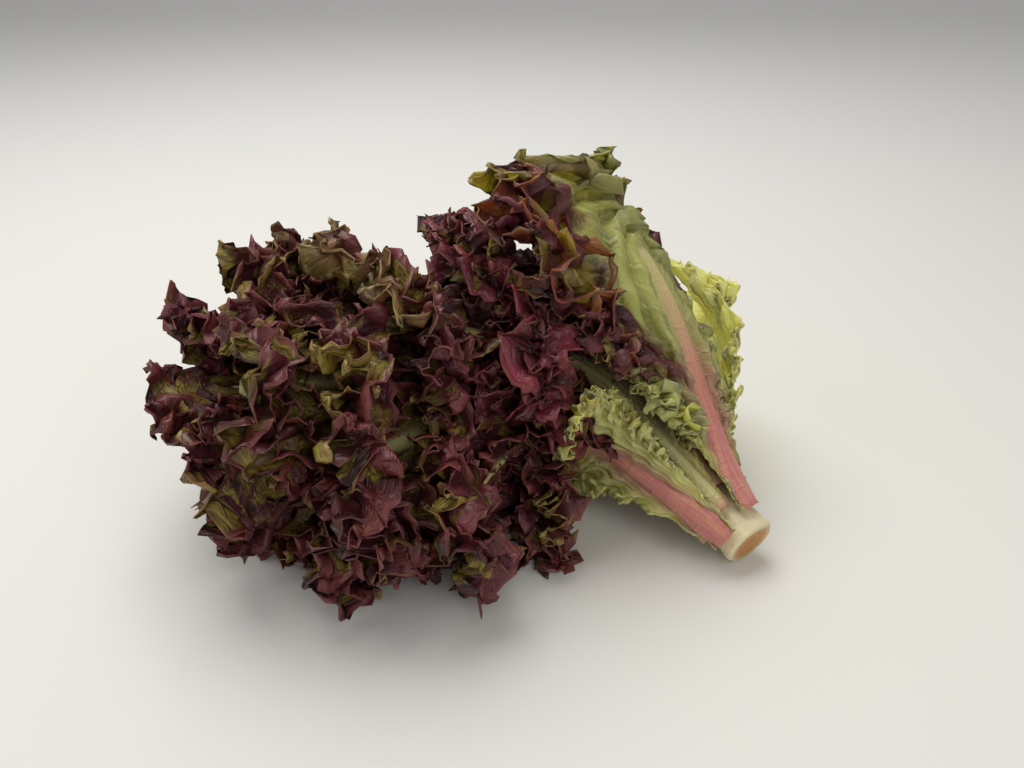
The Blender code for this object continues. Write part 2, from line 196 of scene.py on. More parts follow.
def bent_axis():
    """Arc lengths, points and two side directions along the axis of the head."""
    start = np.array((0.0, 0.0, STEM_LIFT))
    ahead = unit(np.array(STEM_DIRECTION))
    turn = start + AXIS_STRAIGHT * ahead
    control = turn + AXIS_BEND * ahead
    end = np.array(AXIS_END)
    reach = np.linalg.norm(end - control)
    onward = (end - control) / reach
    share = np.linspace(0.0, 1.0, 60)[:, None]
    straight = control + AXIS_BEND * onward
    curve = (1 - share) ** 2 * turn + 2 * share * (1 - share) * control + share**2 * straight
    beyond = np.arange(AXIS_BEND + AXIS_STEP, reach + AXIS_BEYOND, AXIS_STEP)
    beyond = control + beyond[:, None] * onward
    before = start + np.arange(-AXIS_BEFORE, AXIS_STRAIGHT, AXIS_STEP)[:, None] * ahead
    points = np.vstack([before, curve, beyond])
    steps = np.linalg.norm(np.diff(points, axis=0), axis=1)
    arc = np.concatenate([[0.0], np.cumsum(steps)]) - AXIS_BEFORE
    tangents = unit(np.gradient(points, arc, axis=0))
    side = np.array(FRONT_SIDE)
    sides = []
    for tangent in tangents:
        side = unit(side - tangent * (side @ tangent))
        sides.append(side)
    sides = np.array(sides)
    return arc, points, sides, np.cross(tangents, sides)


AXIS = bent_axis()
BALL_PLACE = AXIS[0][np.linalg.norm(AXIS[1] - np.array(AXIS_END), axis=1).argmin()]


def along_axis(table, height):
    """Values of a table of the axis at heights over the cut face."""
    return np.stack([np.interp(height, AXIS[0], table[:, i]) for i in range(3)], axis=-1)


def stem_radius(height):
    """Radius of the stem at a height over its cut face."""
    share = np.clip(height / STEM_LENGTH, 0.0, 1.0)
    return STEM_RADIUS + (STEM_TOP_RADIUS - STEM_RADIUS) * share**STEM_TAPER


class Leaf:
    """The sizes that set one leaf apart; number 0 is the oldest."""

    def __init__(self, number):
        self.number = number
        self.age = 1.0 - number / (LEAF_COUNT - 1)
        self.angle = math.radians(FIRST_LEAF_ANGLE - GOLDEN_ANGLE * number)
        self.sweep = math.radians(SWEEPS.get(number, 0.0))
        rule_width = YOUNGEST_HALF_WIDTH + (OLDEST_HALF_WIDTH - YOUNGEST_HALF_WIDTH) * self.age
        self.half_width = WIDER.get(number, HALF_WIDTHS_OF_THEIR_OWN.get(number, rule_width))
        self.root_height = FIRST_LEAF_HEIGHT + INTERNODE * number
        self.root_radius = stem_radius(self.root_height) + FACE_GAP + 0.4
        self.root_share = min(ROOT_WIDTH_SHARE, ROOT_WIDTH_MOST * self.root_radius / self.half_width)
        self.rib = 4.2 if number < 6 else 3.0
        self.waves = ROWS_OUTER if number < INNER_FROM else ROWS_INNER
        self.rows = 108 if number < 14 else 58
        self.shares = np.array(COLUMN_SHARES)
        self.splits = SPLIT_FROM
        if number in GREEN_LEAVES:
            count = len(COLUMN_SHARES)
            self.rows = 100
            self.shares = np.interp(np.linspace(0, count - 1, 2 * count - 1), np.arange(count), COLUMN_SHARES)
            self.splits = tuple(2 * first for first in SPLIT_FROM)
        self.length = 1.0
        shares = np.linspace(0.0, 1.0, 60)
        height, radius, _ = layer_profile(self, shares, self.angle + self.sweep)
        self.length = float(np.hypot(np.diff(height), np.diff(radius)).sum())
        self.red_reach = RED_REACH.get(number, RED_REACH_OF_THE_REST)
        self.red_strength = RED_STRENGTH.get(number, 1.0)


def layer_ends(leaf, angle):
    """Where a leaf's layer ends in a direction round the axis, and the angles it ends and starts at."""
    same = np.ones_like(angle)
    if leaf.number in ENDS_OF_THEIR_OWN:
        height, radius, end_angle, start_angle = ENDS_OF_THEIR_OWN[leaf.number]
        return height * same, radius * same, np.radians(end_angle) * same, np.radians(start_angle) * same
    swing = np.cos(angle - math.radians(OPEN_SIDE))
    open_share = (YOUNGEST_OPEN + (1.0 - YOUNGEST_OPEN) * leaf.age) ** OPEN_POWER
    end_angle = np.radians(OPEN_MEAN + OPEN_SWING * swing) * open_share
    low = np.maximum(np.cos(angle - math.radians(LOW_SIDE)), 0.0)
    reach = (BALL_RADIUS + BALL_SWELL * leaf.age) * (1.0 - LOW_SHARE * low * low)
    oldest_start = START_MEAN + START_SWING * np.cos(angle - math.radians(START_SIDE))
    start_angle = np.radians(YOUNGEST_START + (oldest_start - YOUNGEST_START) * leaf.age)
    height = BALL_PLACE + reach * np.cos(end_angle)
    return height, reach * np.sin(end_angle), end_angle, start_angle


def bezier(points, share):
    """Place and rate of change at a share of a cubic Bezier curve; past its end it runs on straight."""
    inside = np.clip(share, 0.0, 1.0)
    first, second, third, last = points
    rest = 1.0 - inside
    place = rest**3 * first + 3 * rest**2 * inside * second + 3 * rest * inside**2 * third + inside**3 * last
    rate = 3 * rest**2 * (second - first) + 6 * rest * inside * (third - second) + 3 * inside**2 * (last - third)
    return place + (share - inside) * rate, rate


def layer_profile(leaf, along, angle):
    """Height, distance from the axis and slope of a leaf's layer, a Bezier curve from root to end."""
    angle = np.asarray(angle, float) + np.zeros_like(along)
    end_height, end_radius, end_angle, start_angle = layer_ends(leaf, angle)
    chord = np.hypot(end_height - leaf.root_height, end_radius - leaf.root_radius)
    first = START_PULL * chord
    last = END_PULL * end_radius / np.sin(end_angle)
    heights = (
        leaf.root_height,
        leaf.root_height + first * np.cos(start_angle),
        end_height - last * np.cos(end_angle),
        end_height,
    )
    radii = (
        leaf.root_radius,
        leaf.root_radius + first * np.sin(start_angle),
        end_radius - last * np.sin(end_angle),
        end_radius,
    )
    share = along / leaf.length
    height, height_rate = bezier(heights, share)
    radius, radius_rate = bezier(radii, share)
    return height, radius, np.arctan2(radius_rate, height_rate)


def settle(points):
    """Presses the low side of the head against the surface, away from the stem."""
    x, y, z = points[..., 0], points[..., 1], points[..., 2]
    room = SETTLE_HEIGHT - SETTLE_FLOOR
    pressed = SETTLE_FLOOR + room * np.exp(np.minimum(z - SETTLE_HEIGHT, 0.0) / room)
    pressed = np.where(z < SETTLE_HEIGHT, pressed, z)
    share = smooth_step(np.hypot(x, y), SETTLE_NEAR, SETTLE_FAR)
    return np.stack([x, y, z + share * (pressed - z)], axis=-1)


def place(leaf, across, row_width, along, lift, wave):
    """World points of a leaf from places across and along its blade, heights over its layer and ruffles."""
    swept = leaf.angle + leaf.sweep * smooth_step(along, 0.0, leaf.length)
    middle = np.maximum(layer_profile(leaf, along, swept)[1], 1.0)
    wrap = math.radians(ROOT_WRAP)
    wrap = wrap + math.radians(WIDEST_WRAP - ROOT_WRAP) * smooth_step(along, WRAP_NEAR, WRAP_FAR)
    turned = np.maximum(row_width, 1.0) / middle / wrap
    angle = swept + across / middle * np.tanh(turned) / turned
    height, radius, slope = layer_profile(leaf, along, angle)
    radius = radius / np.cos(angle - swept) ** FLATS.get(leaf.number, 0.0)
    lean = LEANS.get(leaf.number, 0.0) * smooth_step(along, LEAN_NEAR, LEAN_FAR)
    height = height + lean * np.maximum(-across, 0.0)
    lift = lift + RUFFLE_PER_RADIUS * np.maximum(radius - RUFFLE_NEAR, 0.0) * wave
    height = height - lift * np.sin(slope)
    radius = radius + lift * np.cos(slope)
    folds = FOLD_HEIGHT * smooth_step(radius, FOLD_NEAR, FOLD_FAR)
    radius = radius + folds * np.sin(FOLD_COUNT * angle + height / FOLD_LEAN)
    height = height + folds * np.sin((FOLD_COUNT - 1) * angle + radius / FOLD_LEAN + 1.0)
    points = along_axis(AXIS[1], height)
    points = points + (radius * np.cos(angle))[..., None] * along_axis(AXIS[2], height)
    points = points + (radius * np.sin(angle))[..., None] * along_axis(AXIS[3], height)
    return settle(points)


def outline(leaf, share):
    """Half width and length reached at a share of the way from root to tip along the margin."""
    flank = np.clip(share / FLANK_SHARE, 0.0, 1.0)
    tip = np.clip((share - FLANK_SHARE) / (1.0 - FLANK_SHARE), 0.0, 1.0) * math.pi / 2
    rise = flank * flank * (3.0 - 2.0 * flank)
    root_share = ROOT_SHARES.get(leaf.number, leaf.root_share)
    width = root_share + (1.0 - root_share) * rise
    width = width * np.abs(np.cos(tip)) ** TIP_ROUNDNESS
    reach = WIDEST_SHARE * flank + (1.0 - WIDEST_SHARE) * np.sin(tip) ** TIP_ROUNDNESS
    return leaf.half_width * width, leaf.length * reach


def uneven(place_round, seed, beats=(3.1, 7.3, 13.7)):
    """A smooth value between about -1 and 1 that wanders round the margin, the same on every run."""
    total = 0.0
    for number, beat in enumerate(beats):
        total = total + np.sin(beat * place_round + seed * (1.3 + 0.7 * number) + 2.1 * number)
    return total / len(beats)


def blade_table(leaf):
    """Margin places and column shares of a fine table over one leaf."""
    margin = np.linspace(-1.0, 1.0, 8 * leaf.rows + 1)[:, None]
    column = leaf.shares[None, :]
    return margin + 0.0 * column, column + 0.0 * margin


def directions(points, lifted):
    """Unit directions along the margin, towards it, and off the back of the blade."""
    round_margin = unit(np.gradient(points, axis=0))
    outward = unit(np.gradient(points, axis=1))
    off = np.cross(round_margin, outward)
    if np.mean(np.sum(off * lifted, axis=-1)) < 0.0:
        off = -off
    return round_margin, outward, unit(off)


def wave_pair(phase, loop):
    """A wave and the sideways pull that rounds its crests into loops."""
    return np.cos(phase), -loop * np.sin(2.0 * phase)


def shape_leaf(leaf, looks):
    """Points, thickness and colour values of a leaf on its fine table."""
    margin, column = blade_table(leaf)
    points, lifted, thickness, out, rib_place = lay_blade(leaf, looks, margin, column)
    share = 1.0 - np.abs(margin)
    seed = 1.7 * leaf.number
    to_margin = margin_distance(points)
    points, crest = add_frills(leaf, looks, points, lifted, margin, column, out, seed)
    points = keep_within(points)
    colours = leaf_colours(leaf, margin, out, rib_place, share, to_margin, seed)
    colours["crest"] = crest
    colours["thick"] = thickness
    return points, colours


def lay_blade(leaf, looks, margin, column):
    """A blade in its layer with broad ruffles: points, lift directions, thickness and places on it."""
    share = 1.0 - np.abs(margin)
    half_width, reach = outline(leaf, share)
    vein_root = VEIN_SHARE * leaf.length * share
    rib_share = 1.0 - (1.0 - RIB_TIP_SHARE) * share
    rib_half = RIB_HALF_WIDTHS.get(leaf.number, RIB_HALF_WIDTH) * rib_share
    rib_half = np.minimum(rib_half, 0.75 * half_width + RIB_LEAST)
    out = np.clip((column - RIB_COLUMN) / (1.0 - RIB_COLUMN), 0.0, 1.0)
    rib_place = np.minimum(column / RIB_COLUMN, 1.0)
    narrow = np.where(margin > 0.0, RIGHT_SHARES.get(leaf.number, 1.0), 1.0)
    blade_width = narrow * np.maximum(half_width - rib_half, 0.0)
    across = rib_place * rib_half + out * blade_width
    along = vein_root + (reach - vein_root) * out**VEIN_CURVE
    side = np.where(margin > 0.0, 1.0, -1.0)
    rib_height = (leaf.rib - looks.blade) * rib_share**RIB_TAPER
    bulge = (1.0 - rib_place**2) ** 0.8
    thickness = looks.blade + rib_height * bulge
    wide = np.cos(math.pi * leaf.waves * (1.0 + margin))
    wide = wide * (1.0 - RUFFLE_UNEVEN + RUFFLE_UNEVEN * np.sin(RUFFLE_BEAT * margin + RUFFLE_BEAT_LEAF * leaf.number))
    rise = np.clip((out - RUFFLE_START) / (1.0 - RUFFLE_START), 0.0, 1.0) ** RUFFLE_POWER
    lift = (thickness - looks.blade) / 2
    rise = rise * (1.0 + 0.45 * smooth_step(leaf.number, 10.0, 20.0)) * looks.ruffle
    shape = (across * side, rib_half + blade_width, along)
    points = place(leaf, *shape, lift, wide * rise)
    lifted = place(leaf, *shape, lift + 1.0, wide * rise) - points
    if leaf.number in NUDGES:
        points = points + smooth_step(along, 0.25 * leaf.length, leaf.length)[..., None] * np.array(NUDGES[leaf.number])
    return points, lifted, thickness, out, rib_place


def crumple(points, size, seed):
    """Smooth uneven heights between about -1 and 1 from waves that cross in many directions."""
    total = 0.0
    for number in range(7):
        turn = 2.4 * number + seed
        way = np.array((math.cos(turn), math.sin(turn), math.cos(1.7 * turn + 1.0)))
        total = total + np.sin(points @ unit(way) * (2.0 * math.pi / size) * (0.8 + 0.09 * number) + 3.1 * turn)
    return total / 2.6


def vein_places(margin, out, seed):
    """Counts the side veins round a leaf; a vein runs where the value is whole."""
    return LATERAL_VEINS * margin + 0.22 * np.sin(7.0 * out + 2.0 * seed) * out + 0.3 * uneven(margin, seed)


def margin_distance(points):
    """How far each place of a table is from the margin, along its row, in millimetres."""
    steps = np.linalg.norm(np.diff(points, axis=1), axis=-1)
    total = np.cumsum(steps[:, ::-1], axis=1)[:, ::-1]
    return np.concatenate([total, np.zeros((len(points), 1))], axis=1)


def add_frills(leaf, looks, points, lifted, margin, column, out, seed):
    """Puckers, lobes, frills and teeth, each laid on the surface that the ones before it left."""
    round_margin, outward, off = directions(points, lifted)
    valley_shade = 0.0 * out
    lateral = vein_places(margin, out, seed)
    ridge = (0.5 + 0.5 * np.cos(2.0 * math.pi * lateral)) ** 1.5 - 0.4
    quilt = np.sin(26.0 * out + 5.0 * lateral + seed)
    pucker = FOLDED_LEAVES.get(leaf.number, 1.0) * ridge * (0.75 + 0.35 * quilt) + 0.35 * quilt
    pucker = pucker * smooth_step(out, 0.02, 0.2) * (1.0 - 0.7 * smooth_step(out, 0.55, 0.95))
    if leaf.number in CREASES:
        apart, deep = CREASES[leaf.number]
        turns = column * leaf.half_width / apart + 0.5 * uneven(margin, seed, (2.0, 5.0, 9.0)) + 0.8 * margin
        deep = deep * smooth_step(column, 0.12, 0.3) * (1.0 - 0.6 * smooth_step(out, 0.7, 1.0))
        deep = deep * (0.7 + 0.3 * np.sin(3.0 * turns + 9.0 * margin)) * smooth_step(1.0 - np.abs(margin), 0.18, 0.4)
        pucker = pucker + deep * (0.35 - 0.5 * np.cos(2.0 * math.pi * turns))
        points = points + (0.30 * deep * np.sin(4.0 * math.pi * turns))[..., None] * outward
        # Painted shade: a mask of the crease valleys, which lowers the crest value so that the material darkens them
        valley_shade = (0.5 + 0.5 * np.cos(2.0 * math.pi * turns)) ** 2 * np.minimum(deep / 6.0, 1.0)
    points = points + (looks.pucker * pucker)[..., None] * off

    start, lobe_share, frill_share = FRILLS.get(leaf.number, FRILLS_OF_THE_REST)
    grown = 0.1 + 0.9 * smooth_step(1.0 - np.abs(margin), 0.1, 0.34)
    if leaf.number in GREEN_LEAVES:
        grown = 0.1 + 0.9 * smooth_step(1.0 - np.abs(margin), 0.16, 0.45)
    if leaf.number in RIGHT_SHARES:
        grown = grown * np.where(margin > 0.0, 0.25 + 0.75 * smooth_step(1.0 - margin, 0.6, 0.8), 1.0)
    crumpled = crumple(points, 13.0, seed) * smooth_step(out, 0.05, 0.4)
    points = points + (looks.crumple * lobe_share * crumpled)[..., None] * off
    zone = grown * smooth_step(out, start, 0.92)
    phase = 2.0 * math.pi * 1.6 * leaf.waves * (margin + 0.028 * uneven(margin, seed))
    phase = phase + 1.8 * np.sin(5.0 * out + seed + 2.0 * uneven(margin, seed + 6.0))
    wave, pull = wave_pair(phase, 0.34)
    depth = looks.lobe * lobe_share * zone * (1.0 + 0.5 * uneven(margin, seed + 3.0, (5.3, 11.9, 21.0)))
    # The crest value is high on the crests of the lobes and low in their hollows and towards the midrib; the material
    # paints shade where it is low
    swing = 0.12 if leaf.number in GREEN_LEAVES else 0.35
    level = 0.5 if leaf.number in GREEN_LEAVES else 0.2 + 0.3 * smooth_step(out, 0.1, 0.7)
    crest = level + swing * wave * zone - 0.6 * valley_shade
    round_margin, _, off = directions(points, lifted)
    points = points + (depth * wave)[..., None] * off + (depth * pull)[..., None] * round_margin
    jitter = [crumple(points, 10.0, seed + 5.0 * number) for number in range(3)]
    points = points + (1.4 * lobe_share * zone)[..., None] * np.stack(jitter, axis=-1)
    jitter = [crumple(points, 5.5, seed + 4.0 * number) for number in range(3)]
    points = points + (0.55 * lobe_share * zone)[..., None] * np.stack(jitter, axis=-1)

    zone = grown * smooth_step(out, start + 0.3 * (1.0 - start), 0.98)
    phase = 2.0 * math.pi * 4.1 * leaf.waves * (margin + 0.012 * uneven(margin, seed + 5.0, (9.0, 17.0, 31.0)))
    wave, pull = wave_pair(phase + 1.5 * np.sin(9.0 * out + seed), 0.2)
    depth = looks.frill * frill_share * zone * (1.0 + 0.6 * uneven(margin, seed + 8.0, (13.0, 23.0, 41.0)))
    crest = crest + 0.4 * swing * wave * zone
    round_margin, outward, off = directions(points, lifted)
    points = points + (depth * wave)[..., None] * off + (depth * pull)[..., None] * round_margin

    tooth_phase = 2.0 * math.pi * leaf.rows * (margin + 0.003 * uneven(margin, seed + 2.0, (19.0, 37.0, 61.0)))
    tooth = (0.5 + 0.5 * np.cos(tooth_phase)) ** 1.6
    tooth = tooth * (0.55 + 0.45 * uneven(margin, seed + 4.0, (47.0, 83.0, 131.0)))
    zone = grown * smooth_step(out, 0.955, 1.0)
    return points + (looks.tooth * zone * (tooth - 0.25))[..., None] * outward, crest


def tan_share(leaf, share):
    """How much of a leaf's green has turned tan, most at the tip of the leaf that stands up."""
    if leaf.number in TAN_TIPS:
        return smooth_step(share, 0.5, 0.8)
    return 0.3 + 0.3 * math.sin(2.9 * leaf.number) + 0.0 * share if leaf.number not in GREEN_LEAVES else 0.0 * share


def shape_fold(leaf, looks, column, first, last, width, side):
    """Points and values of one frilled fold that stands on a blade along a column."""
    seed = 1.7 * leaf.number + 9.0 * column
    coarse = np.linspace(first, last, 400)[:, None]
    line = lay_blade(leaf, looks, coarse, column + 0.0 * coarse)[0][:, 0]
    arc = np.concatenate([[0.0], np.cumsum(np.linalg.norm(np.diff(line, axis=0), axis=1))])
    at = np.linspace(0.0, arc[-1], int(arc[-1] / FOLD_STEP) + 1)[:, None]
    margin = np.interp(at[:, 0], arc, coarse[:, 0])[:, None]
    columns = column + 0.05 * uneven(margin, seed, (9.0, 17.0, 29.0)) + np.array((-0.02, 0.0, 0.02))[None, :]
    points, lifted, thickness, out, _ = lay_blade(leaf, looks, margin + 0.0 * columns, columns)
    round_margin, outward, off = (way[:, 1:2] for way in directions(points, lifted))
    points, off = points[:, 1:2], off * side
    part = np.linspace(0.0, 1.0, FOLD_COLUMNS + 1)[None, :]
    ends = smooth_step(at, 0.0, 22.0) * smooth_step(arc[-1] - at, 0.0, 22.0)
    wide = width * (0.25 + 0.75 * ends) * (1.0 + 0.35 * uneven(at / 16.0, seed + 1.0, (1.0, 2.3, 3.9)))
    tilt = np.radians(30.0) + np.radians(32.0) * uneven(at / 20.0, seed + 2.0, (1.1, 2.1, 3.3))
    ahead = np.cos(tilt)[..., None] * off + np.sin(tilt)[..., None] * outward
    aside = np.cos(tilt)[..., None] * outward - np.sin(tilt)[..., None] * off
    teeth = 1.2 * part**6 * np.cos(2.0 * math.pi * at / 3.1 + 2.0 * uneven(at / 9.0, seed))
    reach = wide * part + teeth - 2.0
    points = points + reach[..., None] * ahead
    phase = 2.0 * math.pi * at / 16.5 + 2.6 * uneven(at / 14.0, seed + 3.0, (0.9, 1.9, 2.9)) + 1.2 * part
    wave, pull = wave_pair(phase, 0.45)
    depth = 5.6 * part**1.1 * (0.75 + 0.25 * ends)
    # Painted shade: the crest value is lowest at the foot of the fold and in its hollows, where the material darkens it
    crest = 0.35 + 0.35 * part + 0.25 * wave * part
    points = points + (depth * wave)[..., None] * aside + (depth * pull)[..., None] * round_margin
    phase = 2.0 * math.pi * at / 7.2 + 2.0 * uneven(at / 8.0, seed + 4.0, (0.9, 1.9, 2.9)) - 1.5 * part
    wave, pull = wave_pair(phase, 0.3)
    depth = 1.5 * part**1.8
    points = points + (depth * wave)[..., None] * (0.8 * aside + 0.4 * ahead) + (depth * pull)[..., None] * round_margin
    jitter = [crumple(points, 11.0, seed + 5.0 * number) for number in range(3)]
    points = points + (1.6 * part)[..., None] * np.stack(jitter, axis=-1)
    jitter = [crumple(points, 5.5, seed + 4.0 * number) for number in range(3)]
    points = keep_within(points + (0.6 * part)[..., None] * np.stack(jitter, axis=-1))
    same = 0.0 * reach
    # Strength of the painted highlight along the free edge of the fold: a lighter colour for the light that the thin
    # edge catches
    edge = 0.3 if leaf.number in GREEN_LEAVES else 0.75
    red = leaf.red_strength
    if leaf.number == 2:
        red = smooth_step(1.0 - np.abs(margin), 0.3, 0.5)
    values = {"red": red + same, "pale": same, "rim": edge * (1.0 - smooth_step(wide * (1.0 - part), 0.1, 2.2))}
    values.update({"base": 0.3 + same, "lateral": at / 9.0 + same, "crest": crest, "thick": looks.blade + same})
    values["fresh"] = FRESHNESS.get(leaf.number, 0.22 + 0.2 * math.sin(3.3 * leaf.number)) + same
    values["rosy"] = ROSY.get(leaf.number, 0.18 + 0.18 * math.sin(4.1 * leaf.number)) + same
    values["pink"] = same
    values["tan"] = tan_share(leaf, 1.0 - np.abs(margin)) + same
    spread = np.stack([at / 10.0 + same + 5.1 * leaf.number, wide * part / 10.0 + 20.0 * column], axis=-1)
    return points, values, spread


def keep_within(points):
    """Flattens what would sink below the surface that the head lies on, and lowers its very tips."""
    z = points[..., 2]
    pressed = FLOOR_GAP + FLOOR_ROOM * np.exp(np.minimum(z - FLOOR_GAP - FLOOR_ROOM, 0.0) / FLOOR_ROOM)
    lowered = TIP_HEIGHT + TIP_ROOM * (1.0 - np.exp(-np.maximum(z - TIP_HEIGHT, 0.0) / TIP_ROOM))
    points = points.copy()
    points[..., 2] = np.where(z < FLOOR_GAP + FLOOR_ROOM, pressed, np.where(z > TIP_HEIGHT, lowered, z))
    return points


def leaf_colours(leaf, margin, out, rib_place, share, to_margin, seed):
    """Shares of red, of pale tissue and of the painted highlight along the margin for each place of a leaf."""
    reach = leaf.red_reach * (1.0 + 0.35 * uneven(margin, seed + 1.0, (4.0, 9.0, 19.0)))
    left = RED_ON_THE_LEFT.get(leaf.number, 1.0)
    reach = reach * np.where(margin < 0.0, left, 1.0)
    red = 1.0 - smooth_step(to_margin, 0.6 * reach, 1.6 * reach)
    if left > 1.0:
        red = red * smooth_step(share, np.where(margin < 0.0, 0.35, 0.6), np.where(margin < 0.0, 0.62, 0.8))
    if leaf.number in TAN_TIPS:
        red = red * (1.0 - 0.55 * smooth_step(share, 0.84, 0.96) * smooth_step(out, 0.4, 0.7))
    if leaf.number == 2:
        red = red * (1.0 - 0.55 * smooth_step(margin, -0.10, 0.0) * smooth_step(share, 0.7, 0.9))
    red = leaf.red_strength * red * smooth_step(share, 0.12, 0.4)
    fan = 4.0 / (1.0 + 2.6 * smooth_step(share, 0.08, 0.3) * (1.0 - smooth_step(share, 0.42, 0.75)))
    pale = 1.0 - smooth_step(rib_place + fan * out, 0.9, 1.75 if leaf.number in GREEN_LEAVES else 1.4)
    root = 1.0 - smooth_step(share, 0.02, 0.42)
    pale = np.maximum(pale, 0.75 * root * (1.0 - smooth_step(out, 0.2, 0.9)))
    # Painted highlight: a lighter colour along the thin margin, for the light it catches; the same mask fades the veins
    # there
    rim = 1.0 - smooth_step(to_margin, 0.1, 1.1)
    lateral = vein_places(margin, out, seed) + 40.0
    fresh = FRESHNESS.get(leaf.number, 0.22 + 0.2 * math.sin(3.3 * leaf.number)) + 0.0 * margin
    pink_reach = PINK_REACH.get(leaf.number, 0.45)
    pink = 1.0 - smooth_step(share, 0.45 * pink_reach, pink_reach)
    rosy = ROSY.get(leaf.number, 0.18 + 0.18 * math.sin(4.1 * leaf.number)) + 0.0 * share
    return {
        "red": red, "pale": pale, "rim": rim, "base": 1.0 - share, "lateral": lateral, "fresh": fresh, "pink": pink,
        "rosy": rosy + 0.0 * margin, "tan": tan_share(leaf, share),
    }


class LettuceColours(bpy.types.PropertyGroup):
    """The colours of the head."""

    green: bpy.props.FloatVectorProperty(
        name="Leaf green", description="Green of the blade, away from its red margin",
        default=(0.22, 0.23, 0.032), subtype="COLOR", min=0.0, max=1.0)
    brown: bpy.props.FloatVectorProperty(
        name="Leaf brown", description="Brown-red between the darkest red and the green",
        default=(0.155, 0.040, 0.020), subtype="COLOR", min=0.0, max=1.0)
    # Partly the outer leaves' own yellow-green and partly painted light: pushed nearly to white-yellow to paint the
    # light that shines through the outer leaf
    light_green_painted_bright: bpy.props.FloatVectorProperty(
        name="Light green", description="Yellow-green of the outer leaves",
        default=(0.97, 0.93, 0.26), subtype="COLOR", min=0.0, max=1.0)
    tan: bpy.props.FloatVectorProperty(
        name="Tan", description="Warm tan of blades that have lost their green",
        default=(0.40, 0.22, 0.07), subtype="COLOR", min=0.0, max=1.0)
    red: bpy.props.FloatVectorProperty(
        name="Leaf red", description="Dark red of the frilled margins",
        default=(0.092, 0.014, 0.027), subtype="COLOR", min=0.0, max=1.0)
    # Painted highlight: the lighter colour painted along the thin edge of every frill
    rim: bpy.props.FloatVectorProperty(
        name="Edge", description="Lighter thin edge of every frill",
        default=(0.36, 0.11, 0.085), subtype="COLOR", min=0.0, max=1.0)
    pale: bpy.props.FloatVectorProperty(
        name="Leaf base", description="Pale tissue at the root and along the midrib",
        default=(0.66, 0.60, 0.27), subtype="COLOR", min=0.0, max=1.0)
    pink: bpy.props.FloatVectorProperty(
        name="Midrib pink", description="Pink of the midribs of the outer leaves",
        default=(0.68, 0.30, 0.21), subtype="COLOR", min=0.0, max=1.0)
    stem: bpy.props.FloatVectorProperty(
        name="Stem", description="Cream of the stem",
        default=(0.86, 0.77, 0.50), subtype="COLOR", min=0.0, max=1.0)
    cut: bpy.props.FloatVectorProperty(
        name="Cut face", description="Browned face where the stem was cut",
        default=(0.58, 0.27, 0.05), subtype="COLOR", min=0.0, max=1.0)


class LettuceSizes(bpy.types.PropertyGroup):
    """The sizes of the fine shape of the leaves, in millimetres unless they are shares."""

    blade: bpy.props.FloatProperty(
        name="Blade thickness", description="Thickness of a leaf away from its midrib, in mm",
        default=0.4, min=0.2, max=1.5)
    ruffle: bpy.props.FloatProperty(
        name="Ruffle depth", description="Depth of the broad ruffles, as a share of the solid's",
        default=1.25, min=0.0, max=2.0)
    lobe: bpy.props.FloatProperty(
        name="Lobe depth", description="Depth of the lobes along the margin, in mm",
        default=6.0, min=0.0, max=12.0)
    frill: bpy.props.FloatProperty(
        name="Frill depth", description="Depth of the small frills at the edge, in mm",
        default=1.7, min=0.0, max=6.0)
    tooth: bpy.props.FloatProperty(
        name="Tooth length", description="Length of the pointed teeth, in mm",
        default=3.0, min=0.0, max=6.0)
    crumple: bpy.props.FloatProperty(
        name="Crumple depth", description="Depth of the uneven hollows of the blade, in mm",
        default=1.6, min=0.0, max=4.0)
    pucker: bpy.props.FloatProperty(
        name="Pucker depth", description="Depth of the puckers between the veins, in mm",
        default=1.0, min=0.0, max=3.0)


class LettuceStage(bpy.types.PropertyGroup):
    """The floor, the light and the lens."""

    floor: bpy.props.FloatVectorProperty(
        name="Floor", description="Colour of the floor and of the backdrop",
        default=(0.85, 0.835, 0.795), subtype="COLOR", min=0.0, max=1.0)
    key_power: bpy.props.FloatProperty(
        name="Main light", description="Power of the soft light above",
        default=9.4, min=0.0, subtype="POWER", unit="POWER")
    lens: bpy.props.FloatProperty(
        name="Lens", description="Focal length in mm on a 36 mm wide frame", default=32.0, min=10.0, max=200.0)


class Shader:
    """A short way to add and join the nodes of one material."""

    def __init__(self, name):
        self.material = bpy.data.materials.new(name)
        self.material.use_nodes = True
        self.nodes = self.material.node_tree.nodes
        self.links = self.material.node_tree.links
        self.main = self.nodes["Principled BSDF"]

    def node(self, kind, values=None, **settings):
        made = self.nodes.new(kind)
        for key, value in settings.items():
            setattr(made, key, value)
        for key, value in (values or {}).items():
            self.put(made.inputs[key], value)
        return made

    def put(self, socket, value):
        if isinstance(value, bpy.types.NodeSocket):
            self.links.new(value, socket)
        elif isinstance(value, tuple) and len(value) == 3 and socket.type == "RGBA":
            socket.default_value = (*value, 1.0)
        else:
            socket.default_value = value

    def math(self, operation, first, second=0.5, third=0.5, clamp=False):
        made = self.node("ShaderNodeMath", {0: first, 1: second, 2: third}, operation=operation, use_clamp=clamp)
        return made.outputs[0]

    def mix(self, share, first, second, blend="MIX"):
        made = self.node("ShaderNodeMix", data_type="RGBA", blend_type=blend)
        self.put(made.inputs[0], share)
        self.put(made.inputs[6], first)
        self.put(made.inputs[7], second)
        return made.outputs[2]

    def ramp(self, value, low, high, first=0.0, second=1.0):
        made = self.node(
            "ShaderNodeMapRange",
            {"Value": value, "From Min": low, "From Max": high, "To Min": first, "To Max": second},
            interpolation_type="SMOOTHSTEP")
        return made.outputs[0]

    def attribute(self, name):
        return self.node("ShaderNodeAttribute", attribute_name=name, attribute_type="GEOMETRY").outputs["Fac"]

    def noise(self, vector, scale, detail=2.0, distortion=0.0):
        values = {"Vector": vector, "Scale": scale, "Detail": detail, "Distortion": distortion}
        return self.node("ShaderNodeTexNoise", values).outputs["Fac"]


